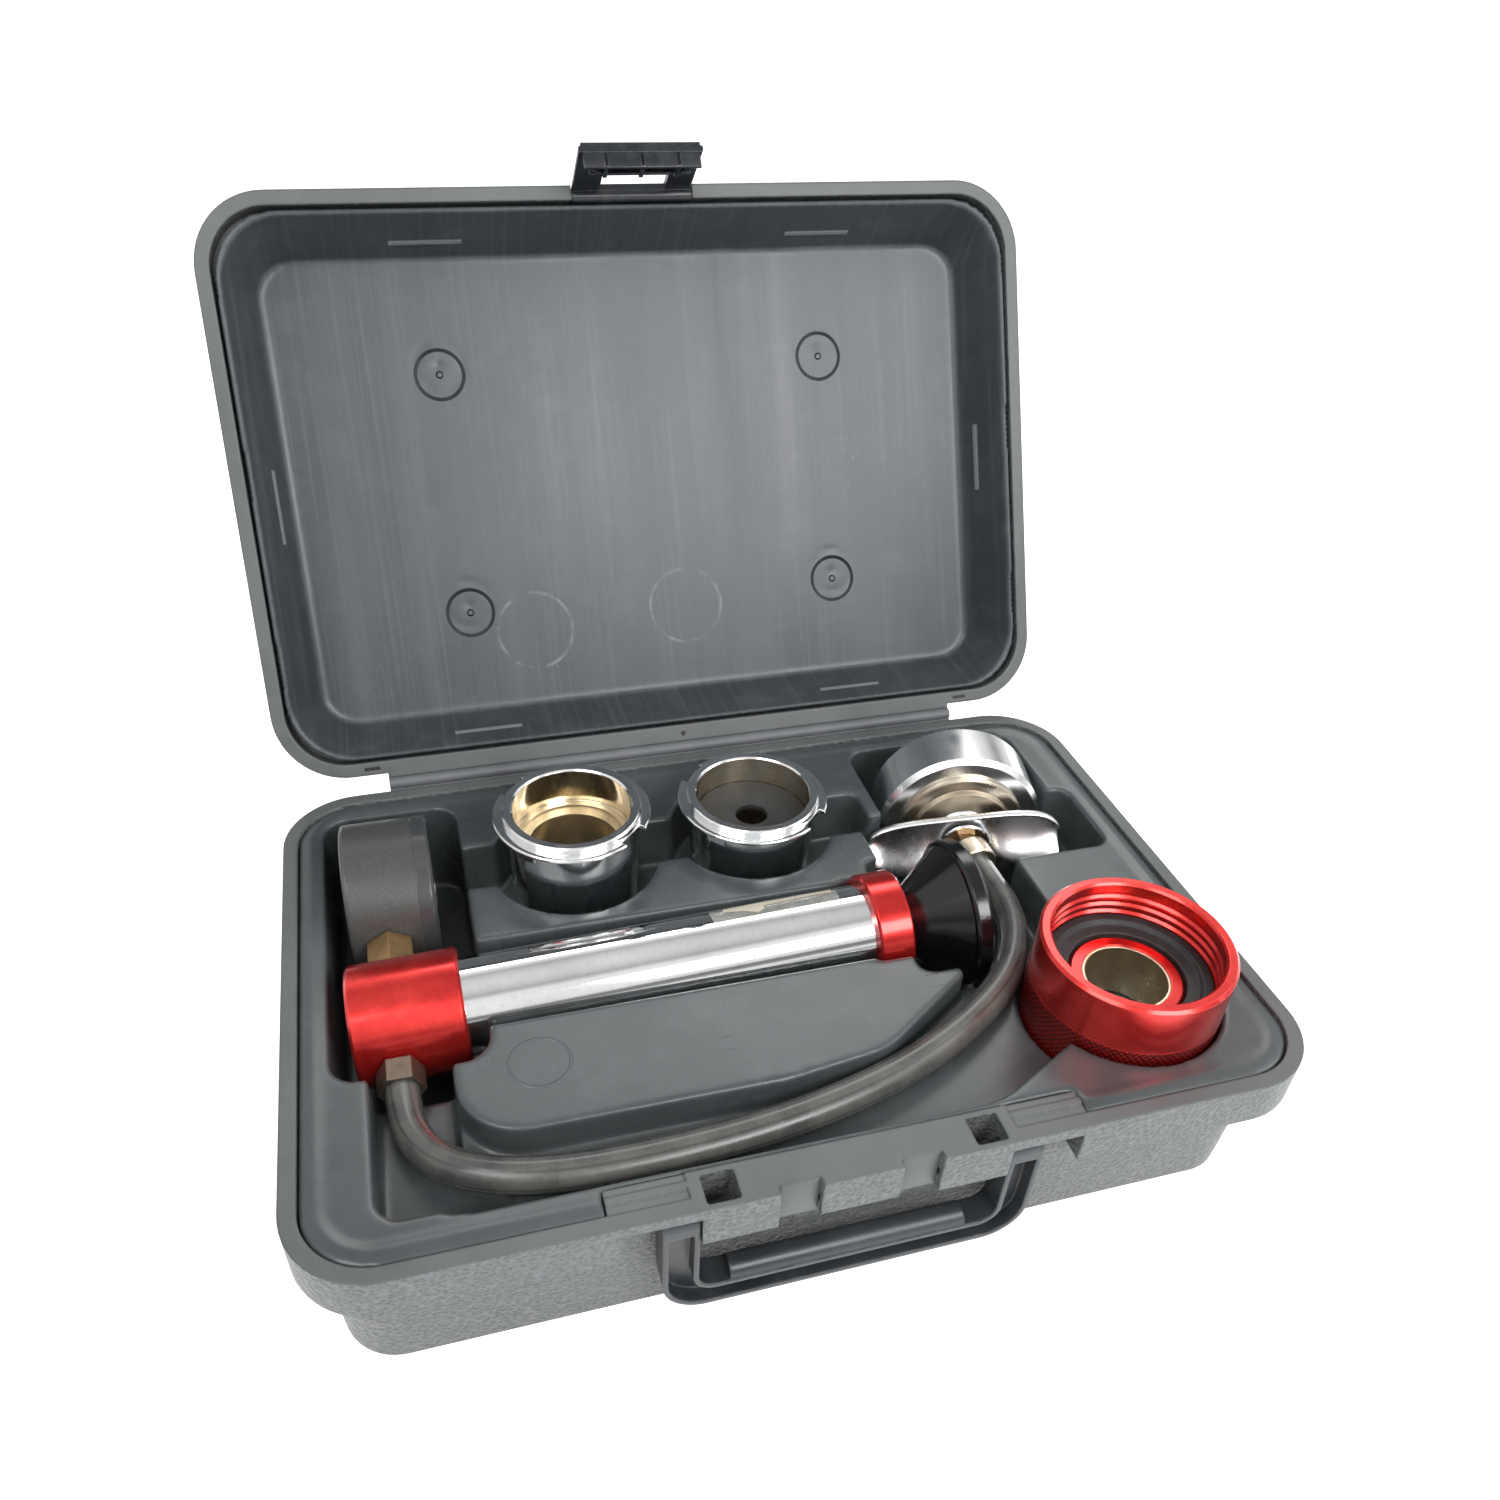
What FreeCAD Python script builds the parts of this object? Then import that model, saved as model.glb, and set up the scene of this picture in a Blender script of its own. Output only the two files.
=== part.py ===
# Radiator pressure tester in its hinged case.
# Frame: origin on the floor under the middle of the case, +X to the right of someone who faces the
# latch, +Y towards the hinge, +Z up. Millimetres. The lid is open and leans back, as it rests.
import FreeCAD, Part
import math
import os
import re
import Sketcher

Vector = FreeCAD.Vector
doc = FreeCAD.newDocument("pressure_tester")
sheet = doc.addObject("Spreadsheet::Sheet", "dims")

DIMS = {
    # case, outside
    "case_width": 320.0, "case_depth": 212.6, "rim_height": 61.0, "case_corner": 27.0,
    "band_height": 16.0, "body_inset_side": 6.0, "body_inset_front": 11.0, "body_draft": 2.5,
    "shell_wall": 2.5, "rim_width": 5.0, "tray_gap": 0.3, "tray_drop": 0.6, "tray_wall": 2.0,
    # latch land and handle niche in the front of the base
    "block_half": 50.0, "block_depth": 13.5, "niche_half": 71.0, "niche_depth": 11.0,
    "niche_roof": 4.2, "panel_in": 12.2, "panel_out": 25.0, "panel_depth": 3.0,
    "bump_high": 14.4, "notch_in": 36.0, "notch_out": 46.0, "notch_long": 10.0,
    "notch_depth": 14.0, "notch_wall": 1.5,
    # handle
    "handle_half": 58.8, "handle_arm": 10.8, "handle_thick": 9.0, "handle_drop": 40.3,
    "handle_flange": 1.6, "handle_recess": 5.0, "handle_corner": 14.0, "handle_stub": 3.0,
    "handle_in": 5.3, "handle_down": 9.2, "pivot_play": 0.05, "grip_radius": 4.2,
    "grip_half": 38.0,
    # lid
    "lid_open": 116.2, "hinge_back": 4.3, "hinge_rise": 0.6, "lid_gap": 0.4, "lid_band": 12.0,
    "lid_inset": 4.0, "lid_draft": 2.5, "lid_height": 29.6, "dish_depth": 25.0, "dish_side": 17.9,
    "dish_front": 18.4, "dish_back": 17.8, "dish_corner": 14.0, "dish_slope": 10.2,
    "dimple_radius": 9.9, "dimple_x": 79.0, "dimple_y": 46.6, "dimple_deep": 0.8,
    "hinge_radius": 2.4, "hinge_half": 120.0, "hinge_play": 0.06,
    # latch
    "latch_half": 23.0, "latch_long": 27.0, "latch_thick": 2.4, "latch_rib": 1.2,
    "latch_in": 3.4, "latch_rise": 2.6, "latch_lean": 14.5, "latch_pin": 1.2,
    "latch_barrel": 2.6, "latch_play": 0.4,
    # pump
    "pump_in": 21.0, "pump_y": -4.6, "pump_z": 48.95, "pump_pitch": 1.9, "head_radius": 20.4,
    "head_long": 36.1, "barrel_radius": 16.4, "barrel_wall": 1.4, "socket": 12.0, "fit": 0.3,
    "collar_radius": 19.7, "collar_long": 12.7, "collar_start": 176.6, "rod_radius": 4.0,
    "rod_play": 0.06, "piston_start": 62.0, "piston_long": 9.0,
    # knob of the plunger
    "knob_small": 10.0, "knob_large": 26.8, "knob_cone": 19.4, "knob_rim": 6.8, "knob_gap": 0.6,
    # gauge
    "gauge_y": 62.3, "gauge_radius": 28.0, "gauge_long": 30.8, "gauge_start": 0.3,
    "gauge_wall": 1.6, "stem_along": 13.4, "stem_flats": 15.2, "stem_hole": 6.0, "stem_seat": 2.2,
    # hose and its fittings
    "hose_radius": 5.5, "hose_play": 0.05, "nipple_radius": 5.2, "nut_flats": 13.2,
    "nut_start": 22.0, "nut_long": 8.6, "hose_start": 24.0, "ferrule_radius": 8.0,
    "ferrule_side": 5.9, "ferrule_reach": 35.9, "ferrule_z": 51.0, "ferrule_long": 9.2,
    "ferrule_grip": 4.6,
    # cap head
    "cap_in": 58.2, "cap_back": 48.0, "cap_z": 50.0, "cap_yaw": 12.8, "skirt_radius": 33.0,
    "skirt_long": 22.2, "skirt_wall": 1.6, "disc_radius": 25.5, "disc_thick": 4.5,
    "seal_radius": 30.5, "seal_thick": 4.0, "stem_radius": 5.0, "stem_play": 0.15,
    "lever_start": 19.0, "lever_sheet": 1.6, "lever_fold": 6.0, "cap_nut": 11.0,
    "cap_nut_long": 4.9,
    # neck adapters
    "neck_ax": -56.4, "neck_a_back": 54.4, "neck_ah": 46.5, "neck_bx": 13.1, "neck_b_back": 50.9,
    "neck_bh": 39.0, "neck_floor": 38.0, "neck_radius": 24.1, "neck_bore": 21.4,
    "neck_taper": 1.0, "neck_lip": 25.2, "neck_flange": 28.5, "seat_bore": 15.0, "washer_hole": 6.2,
    "bore_deep": 14.0,
    # red threaded adapter
    "red_in": 49.3, "red_front": 48.8, "red_floor": 45.2, "red_high": 38.0, "red_radius": 31.9,
    "knurl_radius": 32.0, "knurl_high": 19.0, "red_bore": 27.7, "thread_deep": 0.9,
    "thread_pitch": 3.4, "hub_radius": 19.1, "hub_bore": 14.6, "hub_high": 21.6,
    "red_web": 14.0, "sleeve_wall": 0.9, "gasket_thick": 10.4,
    # pockets of the tray
    "seat": 0.3, "room": 3.0, "gauge_floor": 21.3, "barrel_floor": 32.4, 
    "channel_floor": 48.6, "bend_floor": 43.4, "finger_floor": 38.0,
    "bead_in": 8.3, "bead_wide": 2.5, "bead_high": 0.7,
}
for row, (alias, value) in enumerate(DIMS.items(), 1):
    sheet.set("A%d" % row, str(value))
    sheet.setAlias("A%d" % row, alias)
doc.recompute()
FUNCTIONS = ("sin", "cos", "tan", "sqrt", "atan", "asin", "acos")
WORD = re.compile(r"[a-z][a-z_0-9]*")
nodes = []


def ex(text):
    """An expression in which every dimension's name points at its cell."""
    return WORD.sub(lambda m: m[0] if m[0] in FUNCTIONS else "dims." + m[0], str(text))


def num(text):
    """The present value of an expression."""
    value = sheet.evalExpression(ex(text))
    return float(getattr(value, "Value", value))


def bind(thing, name, text):
    thing.setExpression(name, ex(text))


def keep(thing, label, place=None):
    """Names a finished sub-part and puts it in its group's place."""
    thing.Label = label
    if place:
        place(thing)
    nodes.append(thing)
    return thing


def move(thing, x="0", y="0", z="0"):
    for axis, text in zip("xyz", (x, y, z)):
        bind(thing, "Placement.Base." + axis, text)


def turn(thing, axis, text):
    thing.Placement = FreeCAD.Placement(thing.Placement.Base, FreeCAD.Rotation(axis, 1))
    bind(thing, "Placement.Rotation.Angle", text)


def body(name):
    return doc.addObject("PartDesign::Body", name + "_body")


def sketch(owner, role, at=("0", "0", "0")):
    """An empty sketch on one of the body's own planes, at an offset in the sketch's axes."""
    flat = next(f for f in owner.Origin.OriginFeatures if f.Role == role)
    made = owner.newObject("Sketcher::SketchObject", owner.Name + "_sketch")
    made.AttachmentSupport = [(flat, "")]
    made.MapMode = "FlatFace"
    for axis, text in zip("xyz", at):
        bind(made, "AttachmentOffset.Base." + axis, text)
    return made


def fix(drawing, constraints):
    """Adds (constraint, expression or None) pairs and binds those that have an expression."""
    first = drawing.ConstraintCount
    drawing.addConstraint([c for c, _ in constraints])
    for i, (_, text) in enumerate(constraints):
        if text is not None:
            drawing.setExpression("Constraints[%d]" % (first + i), ex(text))


def polygon(drawing, points, construction=False):
    """A closed outline through points whose coordinates are expressions."""
    at = [Vector(num(x), num(y), 0) for x, y in points]
    count = len(at)
    first = drawing.GeometryCount
    lines = [Part.LineSegment(at[i], at[(i + 1) % count]) for i in range(count)]
    drawing.addGeometry(lines, construction)
    wanted = []
    for i, (x, y) in enumerate(points):
        here, after = first + i, first + (i + 1) % count
        wanted.append((Sketcher.Constraint("Coincident", here, 2, after, 1), None))
        wanted.append((Sketcher.Constraint("DistanceX", -1, 1, here, 1, at[i].x), x))
        wanted.append((Sketcher.Constraint("DistanceY", -1, 1, here, 1, at[i].y), y))
    fix(drawing, wanted)
    return first, at


def outline(drawing, corners):
    """A closed outline with rounded corners: each corner is (x, y, radius) in expressions."""
    first, at = polygon(drawing, [c[:2] for c in corners], True)
    count = len(at)
    radii = [num(c[2]) for c in corners]
    ends = []
    for i in range(count):
        back = (at[i - 1] - at[i]).normalize()
        ahead = (at[(i + 1) % count] - at[i]).normalize()
        half = back.getAngle(ahead) / 2
        reach = radii[i] / math.tan(half)
        centre = at[i] + (back + ahead).normalize() * (radii[i] / math.sin(half))
        ends.append((at[i] + back * reach, at[i] + ahead * reach, centre))
    start = drawing.GeometryCount
    shapes, flips = [], []
    for i in range(count):
        after = (i + 1) % count
        shapes.append(Part.LineSegment(ends[i][1], ends[after][0]))
    for i in range(count):
        a, b, centre = ends[i]
        low = math.atan2(a.y - centre.y, a.x - centre.x)
        high = math.atan2(b.y - centre.y, b.x - centre.x)
        left = (a - centre).cross(b - centre).z > 0
        flips.append(left)
        circle = Part.Circle(centre, Vector(0, 0, 1), radii[i])
        shapes.append(Part.ArcOfCircle(circle, low if left else high, high if left else low))
    drawing.addGeometry(shapes, False)
    wanted = []
    for i in range(count):
        line, arc, before = start + i, start + count + i, start + (i - 1) % count
        near, far = (1, 2) if flips[i] else (2, 1)
        wanted.append((Sketcher.Constraint("PointOnObject", line, 1, first + i), None))
        wanted.append((Sketcher.Constraint("PointOnObject", line, 2, first + i), None))
        wanted.append((Sketcher.Constraint("Tangent", before, 2, arc, near), None))
        wanted.append((Sketcher.Constraint("Tangent", line, 1, arc, far), None))
        wanted.append((Sketcher.Constraint("Radius", arc, radii[i]), corners[i][2]))
    fix(drawing, wanted)


def box_outline(drawing, low_x, high_x, low_y, high_y, radius):
    outline(drawing, [(low_x, low_y, radius), (high_x, low_y, radius), (high_x, high_y, radius),
                      (low_x, high_y, radius)])


def round_outline(drawing, radius):
    drawing.addGeometry(Part.Circle(Vector(0, 0, 0), Vector(0, 0, 1), num(radius)), False)
    here = drawing.GeometryCount - 1
    fix(drawing, [(Sketcher.Constraint("Coincident", here, 3, -1, 1), None),
                  (Sketcher.Constraint("Radius", here, num(radius)), radius)])


def feature(owner, kind, drawing, length=None, **more):
    made = owner.newObject("PartDesign::" + kind, owner.Name + "_" + kind.lower())
    made.Profile = drawing
    if length is not None:
        bind(made, "Length", length)
    for name, value in more.items():
        setattr(made, name, value)
    return made


def tapered(thing, draft, height):
    """Draws a pad or pocket in by a draft over its height."""
    bind(thing, "TaperAngle", "-1 * atan(%s / %s)" % (draft, height))
    return thing


def plate(owner, z, corners, length, kind="Pad"):
    """A pad up from z, or a pocket down from z, of a rounded outline in plan."""
    drawing = sketch(owner, "XY_Plane", ("0", "0", z))
    outline(drawing, corners)
    return feature(owner, kind, drawing, length)


def block(owner, low_x, high_x, low_y, high_y, radius, z, length, kind="Pad"):
    drawing = sketch(owner, "XY_Plane", ("0", "0", z))
    box_outline(drawing, low_x, high_x, low_y, high_y, radius)
    return feature(owner, kind, drawing, length)


def disc(owner, x, y, radius, z, length, kind="Pad"):
    drawing = sketch(owner, "XY_Plane", (x, y, z))
    round_outline(drawing, radius)
    return feature(owner, kind, drawing, length)


def spin(owner, points, at=("0", "0", "0"), role="XZ_Plane", kind="Revolution"):
    """A solid, or a groove, turned about the sketch's upright axis."""
    drawing = sketch(owner, role, at)
    polygon(drawing, points)
    made = feature(owner, kind, drawing)
    made.ReferenceAxis = (drawing, ["V_Axis"])
    made.Angle = 360
    return made


def turned(label, points, place, at=("0", "0", "0"), role="XZ_Plane"):
    owner = body(label)
    spin(owner, points, at, role)
    return keep(owner, label, place)


# places of the groups
FRONT = "(0 - case_depth / 2)"
BACK = "(case_depth / 2)"
LEFT = "(0 - case_width / 2)"
PUMP_X = "(pump_in - case_width / 2)"
CAP_X, CAP_Y = "(case_width / 2 - cap_in)", "(case_depth / 2 - cap_back)"
NECK_AY, NECK_BY = "(case_depth / 2 - neck_a_back)", "(case_depth / 2 - neck_b_back)"
RED_X, RED_Y = "(case_width / 2 - red_in)", "(red_front - case_depth / 2)"
FERRULE_X, FERRULE_Y = "(%s - ferrule_side)" % CAP_X, "(%s - ferrule_reach)" % CAP_Y
LATCH_Y = "(latch_in - hinge_back - case_depth)"
LATCH_Z = "(lid_gap - hinge_rise + latch_rise)"
STEM_X = "(%s + stem_along * cos(pump_pitch))" % PUMP_X
STEM_Z = "(pump_z + stem_along * sin(pump_pitch))"


def in_case(thing):
    move(thing)


def in_lid(thing):
    turn(thing, Vector(1, 0, 0), "0 - lid_open")
    move(thing, "0", "case_depth / 2 + hinge_back", "rim_height + hinge_rise")


def in_latch(thing, lean="latch_lean"):
    turn(thing, Vector(1, 0, 0), "0 - lid_open - " + lean)
    move(thing, "0",
         "case_depth / 2 + hinge_back + %s * cos(lid_open) + %s * sin(lid_open)" % (LATCH_Y, LATCH_Z),
         "rim_height + hinge_rise - %s * sin(lid_open) + %s * cos(lid_open)" % (LATCH_Y, LATCH_Z))


def in_handle(thing):
    move(thing, "0", FRONT + " + handle_in", "rim_height - handle_down")


def on_pump(thing):
    """Pump pieces are drawn along +Z from the back of the head and lie along +X."""
    turn(thing, Vector(0, 1, 0), "90 - pump_pitch")
    move(thing, PUMP_X, "pump_y", "pump_z")


def on_gauge(thing):
    turn(thing, Vector(0, 1, 0), "90")
    move(thing, PUMP_X + " + gauge_start", "pump_y + gauge_y", STEM_Z)


def on_stem(thing):
    turn(thing, Vector(1, 0, 0), "0 - 90")
    move(thing, STEM_X, "pump_y", STEM_Z)


def on_nipple(thing):
    turn(thing, Vector(1, 0, 0), "90")
    move(thing, STEM_X, "pump_y", STEM_Z)


def on_ferrule(thing):
    turn(thing, Vector(1, 0, 0), "0 - 90")
    move(thing, FERRULE_X, FERRULE_Y, "ferrule_z")


def on_cap(thing):
    """Cap pieces are drawn with -Y along the cap's axis, towards the hose."""
    turn(thing, Vector(0, 0, 1), "0 - cap_yaw")
    move(thing, CAP_X, CAP_Y, "cap_z")


def on_neck_a(thing):
    move(thing, "neck_ax", NECK_AY, "neck_floor")


def on_neck_b(thing):
    move(thing, "neck_bx", NECK_BY, "neck_floor")


def on_red(thing):
    move(thing, RED_X, RED_Y, "red_floor")


def mirrored(low, high):
    """The same span on the right and on the left of the middle."""
    return (low, high), ("0 - " + high, "0 - " + low)


def rod(owner, role, at, radius, length, kind="Pad", back=False):
    """A round pad or pocket on one of the body's planes."""
    drawing = sketch(owner, role, at)
    round_outline(drawing, radius)
    return feature(owner, kind, drawing, length, Reversed=back)


def prism(owner, role, at, points, length, kind="Pad", back=False):
    drawing = sketch(owner, role, at)
    polygon(drawing, points)
    return feature(owner, kind, drawing, length, Reversed=back)


def hexagon(flats):
    """Corners of a hexagon by its width across flats."""
    half = "(%s / 2)" % flats
    tip, side = half + " / cos(30)", half + " * tan(30)"
    return [(side, "0 - " + half), (tip, "0"), (side, half), ("0 - " + side, half),
            ("0 - " + tip, "0"), ("0 - " + side, "0 - " + half)]


# case
def case_outline(inset, front=None):
    """The case's plan, drawn in by an inset that may differ along the front."""
    side = "(case_width / 2 - %s)" % inset
    low = "(0 - case_depth / 2 + %s)" % (front or inset)
    high = "(case_depth / 2 - %s)" % inset
    corner = "case_corner - %s" % inset
    return [("0 - " + side, low, corner), (side, low, corner), (side, high, corner),
            ("0 - " + side, high, corner)]


def base_shell():
    owner = body("base_shell")
    split = "(rim_height - band_height)"
    plate(owner, split, case_outline("0"), "band_height")
    low = sketch(owner, "XY_Plane", ("0", "0", split))
    outline(low, case_outline("body_inset_side", "body_inset_front"))
    tapered(feature(owner, "Pad", low, split, Reversed=True), "body_draft", split)
    # hollow: behind the rim band, then down inside the drafted body
    plate(owner, "rim_height", case_outline("rim_width"), "band_height - shell_wall", "Pocket")
    inner, inner_front = "(body_inset_side + shell_wall)", "(body_inset_front + shell_wall)"
    top = sketch(owner, "XY_Plane", ("0", "0", split + " + shell_wall"))
    outline(top, case_outline(inner, inner_front))
    tapered(feature(owner, "Pocket", top, split), "body_draft", split)
    # land that the latch closes on, and the niche behind the hanging handle
    wall = FRONT + " + block_depth"
    block(owner, "0 - niche_half - shell_wall", "niche_half + shell_wall", FRONT + " + 1", wall,
          "0.5", split, "band_height - 0.6")
    block(owner, "0 - block_half", "block_half", FRONT + " + 1", wall, "0.5", split, "band_height")
    for low, high in mirrored("block_half", "(niche_half + shell_wall)"):
        block(owner, low, high, FRONT + " + bead_in", FRONT + " + bead_in + bead_wide", "0.6",
              "rim_height - tray_drop", "bead_high")
    for low, high in mirrored("(notch_out + notch_wall)", "niche_half"):
        block(owner, low, high, FRONT + " - 3", FRONT + " + niche_depth", "1.5",
              "rim_height - niche_roof", "band_height + 2", "Pocket")
    for low, high in mirrored("panel_in", "panel_out"):
        block(owner, low, high, FRONT + " - 2", FRONT + " + panel_depth", "0.8", "rim_height + 1",
              "band_height + 4", "Pocket")
    block(owner, "0 - panel_in - 1", "panel_in + 1", FRONT + " - 2", FRONT + " + panel_depth",
          "0.8", "rim_height - bump_high", "band_height", "Pocket")
    for low, high in mirrored("notch_in", "notch_out"):
        block(owner, low, high, FRONT + " + 1.8", FRONT + " + 1.8 + notch_long", "1",
              "rim_height + 1", "notch_depth + 1", "Pocket")
    rod(owner, "YZ_Plane", (FRONT + " + handle_in", "rim_height - handle_down",
                            "0 - notch_out - notch_wall - 1"),
        "handle_stub + pivot_play", "2 * (notch_out + notch_wall + 1)", "Pocket", True)
    keep(owner, "base_shell", in_case)


def island(inset="0"):
    """The raised land between the hose's channel and the pump."""
    i = inset
    left = LEFT + " + 50.3 + " + i
    return [(left, "0 - 20", "2"), (left, FRONT + " + 39.7 + " + i, "21"),
            ("0 - 10", FRONT + " + 38.9 + " + i, "40"), ("25", FRONT + " + 43.5 + " + i, "25"),
            ("63 - 2 * " + i, "0 - 37.5", "3"), ("52 - " + i, "0 - 20", "3")]


def channel(grow="0"):
    """The hose's channel, from the bend beside the pump to the cap."""
    g = grow
    left, right = LEFT + " + 25.6 - " + g, CAP_X + " + 4.2 + " + g
    front, knob = FRONT + " + 16 - " + g, PUMP_X + " + 219 - " + g
    return [(left, front, "28 + " + g), ("50 + " + g, front, "26 + " + g),
            ("87 + " + g, FRONT + " + 34.3 - " + g, "8"), (right, "0 - 20", "8"),
            (right, "20 + " + g, "4"), (knob, "20 + " + g, "3"), (knob, "0 - 18 + " + g, "3"),
            (left, "0 - 18 + " + g, "4")]


def base_tray():
    owner = body("base_tray")
    top = "(rim_height - tray_drop)"
    edge = "(rim_width + tray_gap)"
    plate(owner, top + " - tray_wall", case_outline(edge), "tray_wall")
    ledge = "(rim_height - band_height + shell_wall)"
    plate(owner, ledge, case_outline(edge), "rim_height - tray_drop - %s - 0.01" % ledge)
    plate(owner, top + " - tray_wall", case_outline("(%s + tray_wall)" % edge),
          "band_height", "Pocket")
    plate(owner, top + " - tray_wall", case_outline("bead_in"), "tray_wall + bead_high")
    plate(owner, top + " + 1", case_outline("(bead_in + bead_wide)"), "1", "Pocket")
    neck_room, collar_room = "neck_radius + room + 3.8", "(collar_radius + 1)"
    knob_floor = "(pump_z + 208 * sin(pump_pitch) - knob_large - 1)"
    boxes = [
        (LEFT + " + 14.4", PUMP_X + " + 42", "pump_y - head_radius - room - 8.6", BACK + " - 13.9",
         "9", "gauge_floor"),
        (PUMP_X + " + 35", PUMP_X + " + 190", "pump_y - barrel_radius - 2.5",
         "pump_y + barrel_radius + 3.2", "3", "barrel_floor"),
        (PUMP_X + " + 174.5", PUMP_X + " + 191.5", "pump_y - " + collar_room,
         "pump_y + " + collar_room, "1", "barrel_floor"),
        (PUMP_X + " + 187", PUMP_X + " + 220", "pump_y - knob_large - room",
         "pump_y + knob_large + room", "5", knob_floor),
        (CAP_X + " - 35.8", CAP_X + " + 36.2", CAP_Y + " - 40.3", CAP_Y + " + 34.7", "8",
         "cap_z - skirt_radius - seat"),
        (CAP_X + " - 47.3", CAP_X + " + 44.2", CAP_Y + " - 44.3", CAP_Y + " - 8.3", "5",
         "cap_z - 13"),
        (CAP_X + " - 24.8", CAP_X + " + 4.2", "0 - 26", "20", "4", "bend_floor"),
        ("0 - 98", "60", BACK + " - 63.3", BACK + " - 40.3", "4", "finger_floor"),
        (LEFT + " + 25.6", PUMP_X + " + 29", FRONT + " + 18.3", "0 - 20", "10", "bend_floor"),
        (LEFT + " + 25.6", PUMP_X + " + 42", FRONT + " + 18.3", FRONT + " + 41", "8", "bend_floor"),
    ]
    rounds = [
        ("neck_ax", NECK_AY, neck_room, "neck_floor - seat"),
        ("neck_bx", NECK_BY, neck_room, "neck_floor - seat"),
        (RED_X, RED_Y, "knurl_radius + 0.7", "red_floor - seat"),
    ]
    for low_x, high_x, low_y, high_y, radius, floor in boxes:
        block(owner, low_x + " - tray_wall", high_x + " + tray_wall", low_y + " - tray_wall",
              high_y + " + tray_wall", radius + " + tray_wall", "(%s - tray_wall)" % floor,
              "%s - (%s)" % (top, floor))
    for x, y, radius, floor in rounds:
        disc(owner, x, y, radius + " + tray_wall", "(%s - tray_wall)" % floor,
             "%s - (%s)" % (top, floor))
    plate(owner, "channel_floor - tray_wall", channel("tray_wall"), top + " - channel_floor")
    ring = sketch(owner, "XY_Plane", ("0", "0", top))
    outline(ring, channel())
    outline(ring, island())
    feature(owner, "Pocket", ring, top + " - channel_floor")
    for low_x, high_x, low_y, high_y, radius, floor in boxes:
        block(owner, low_x, high_x, low_y, high_y, radius, top, "%s - (%s)" % (top, floor),
              "Pocket")
    for x, y, radius, floor in rounds:
        disc(owner, x, y, radius, top, "%s - (%s)" % (top, floor), "Pocket")
    # room for the land and the niches of the case front
    block(owner, "0 - niche_half - shell_wall - tray_gap", "niche_half + shell_wall + tray_gap",
          FRONT, FRONT + " + block_depth + tray_gap", "0.5", "rim_height + 2", "band_height + 2",
          "Pocket")
    keep(owner, "base_tray", in_case)


def hinge_rod():
    owner = body("hinge_rod")
    at = ("case_depth / 2 + hinge_back", "rim_height + hinge_rise", "0 - hinge_half")
    rod(owner, "YZ_Plane", at, "hinge_radius", "2 * hinge_half")
    block(owner, "0 - hinge_half", "hinge_half", "case_depth / 2",
          "case_depth / 2 + hinge_back", "0.4", "rim_height - 3.4",
          "3.4 + hinge_rise - hinge_radius / 2 - 0.4")
    keep(owner, "hinge_rod", in_case)


# handle
def u_shape(inset):
    """The handle's outline seen from the front, drawn in by an inset."""
    outer, inner = "(handle_half - %s)" % inset, "(handle_half - handle_arm + %s)" % inset
    low = "(%s - handle_drop)" % inset
    step = "(handle_arm - handle_drop - 1.3 - %s)" % inset
    top = "(0 - 2 * %s)" % inset
    return [("0 - " + outer, low, "handle_corner - " + inset), (outer, low, "handle_corner - " + inset),
            (outer, top, "0.4"), (inner, top, "0.4"), (inner, step, "6 + " + inset),
            ("0 - " + inner, step, "6 + " + inset), ("0 - " + inner, top, "0.4"),
            ("0 - " + outer, top, "0.4")]


def handle():
    owner = body("handle")
    drawing = sketch(owner, "XZ_Plane", ("0", "0", "0 - handle_thick / 2"))
    outline(drawing, u_shape("0"))
    feature(owner, "Pad", drawing, "handle_thick")
    hollow = sketch(owner, "XZ_Plane", ("0", "0", "handle_thick / 2"))
    outline(hollow, u_shape("handle_flange"))
    feature(owner, "Pocket", hollow, "handle_recess")
    for low in ("(handle_half - handle_arm)", "(0 - handle_half)"):
        rod(owner, "YZ_Plane", ("0", "0", low), "handle_thick / 2", "handle_arm")
    for low in ("(notch_out - 1.5)", "(0 - handle_half + 1)"):
        rod(owner, "YZ_Plane", ("0", "0", low), "handle_stub", "handle_half - notch_out + 0.5")
    rod(owner, "YZ_Plane", ("0", "handle_arm - handle_drop - 1.3", "0 - grip_half"), "grip_radius",
        "2 * grip_half")
    keep(owner, "handle", in_handle)


# lid, drawn closed with its hinge's axis on the origin
LID_LOW = "(lid_gap - hinge_rise)"


def lid_outline(inset, front=None, back=None, corner=None):
    side = "(case_width / 2 - %s)" % inset
    low = "(%s - hinge_back - case_depth)" % (front or inset)
    high = "(0 - hinge_back - %s)" % (back or inset)
    corner = corner or "case_corner - " + inset
    return [("0 - " + side, low, corner), (side, low, corner), (side, high, corner),
            ("0 - " + side, high, corner)]


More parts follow.
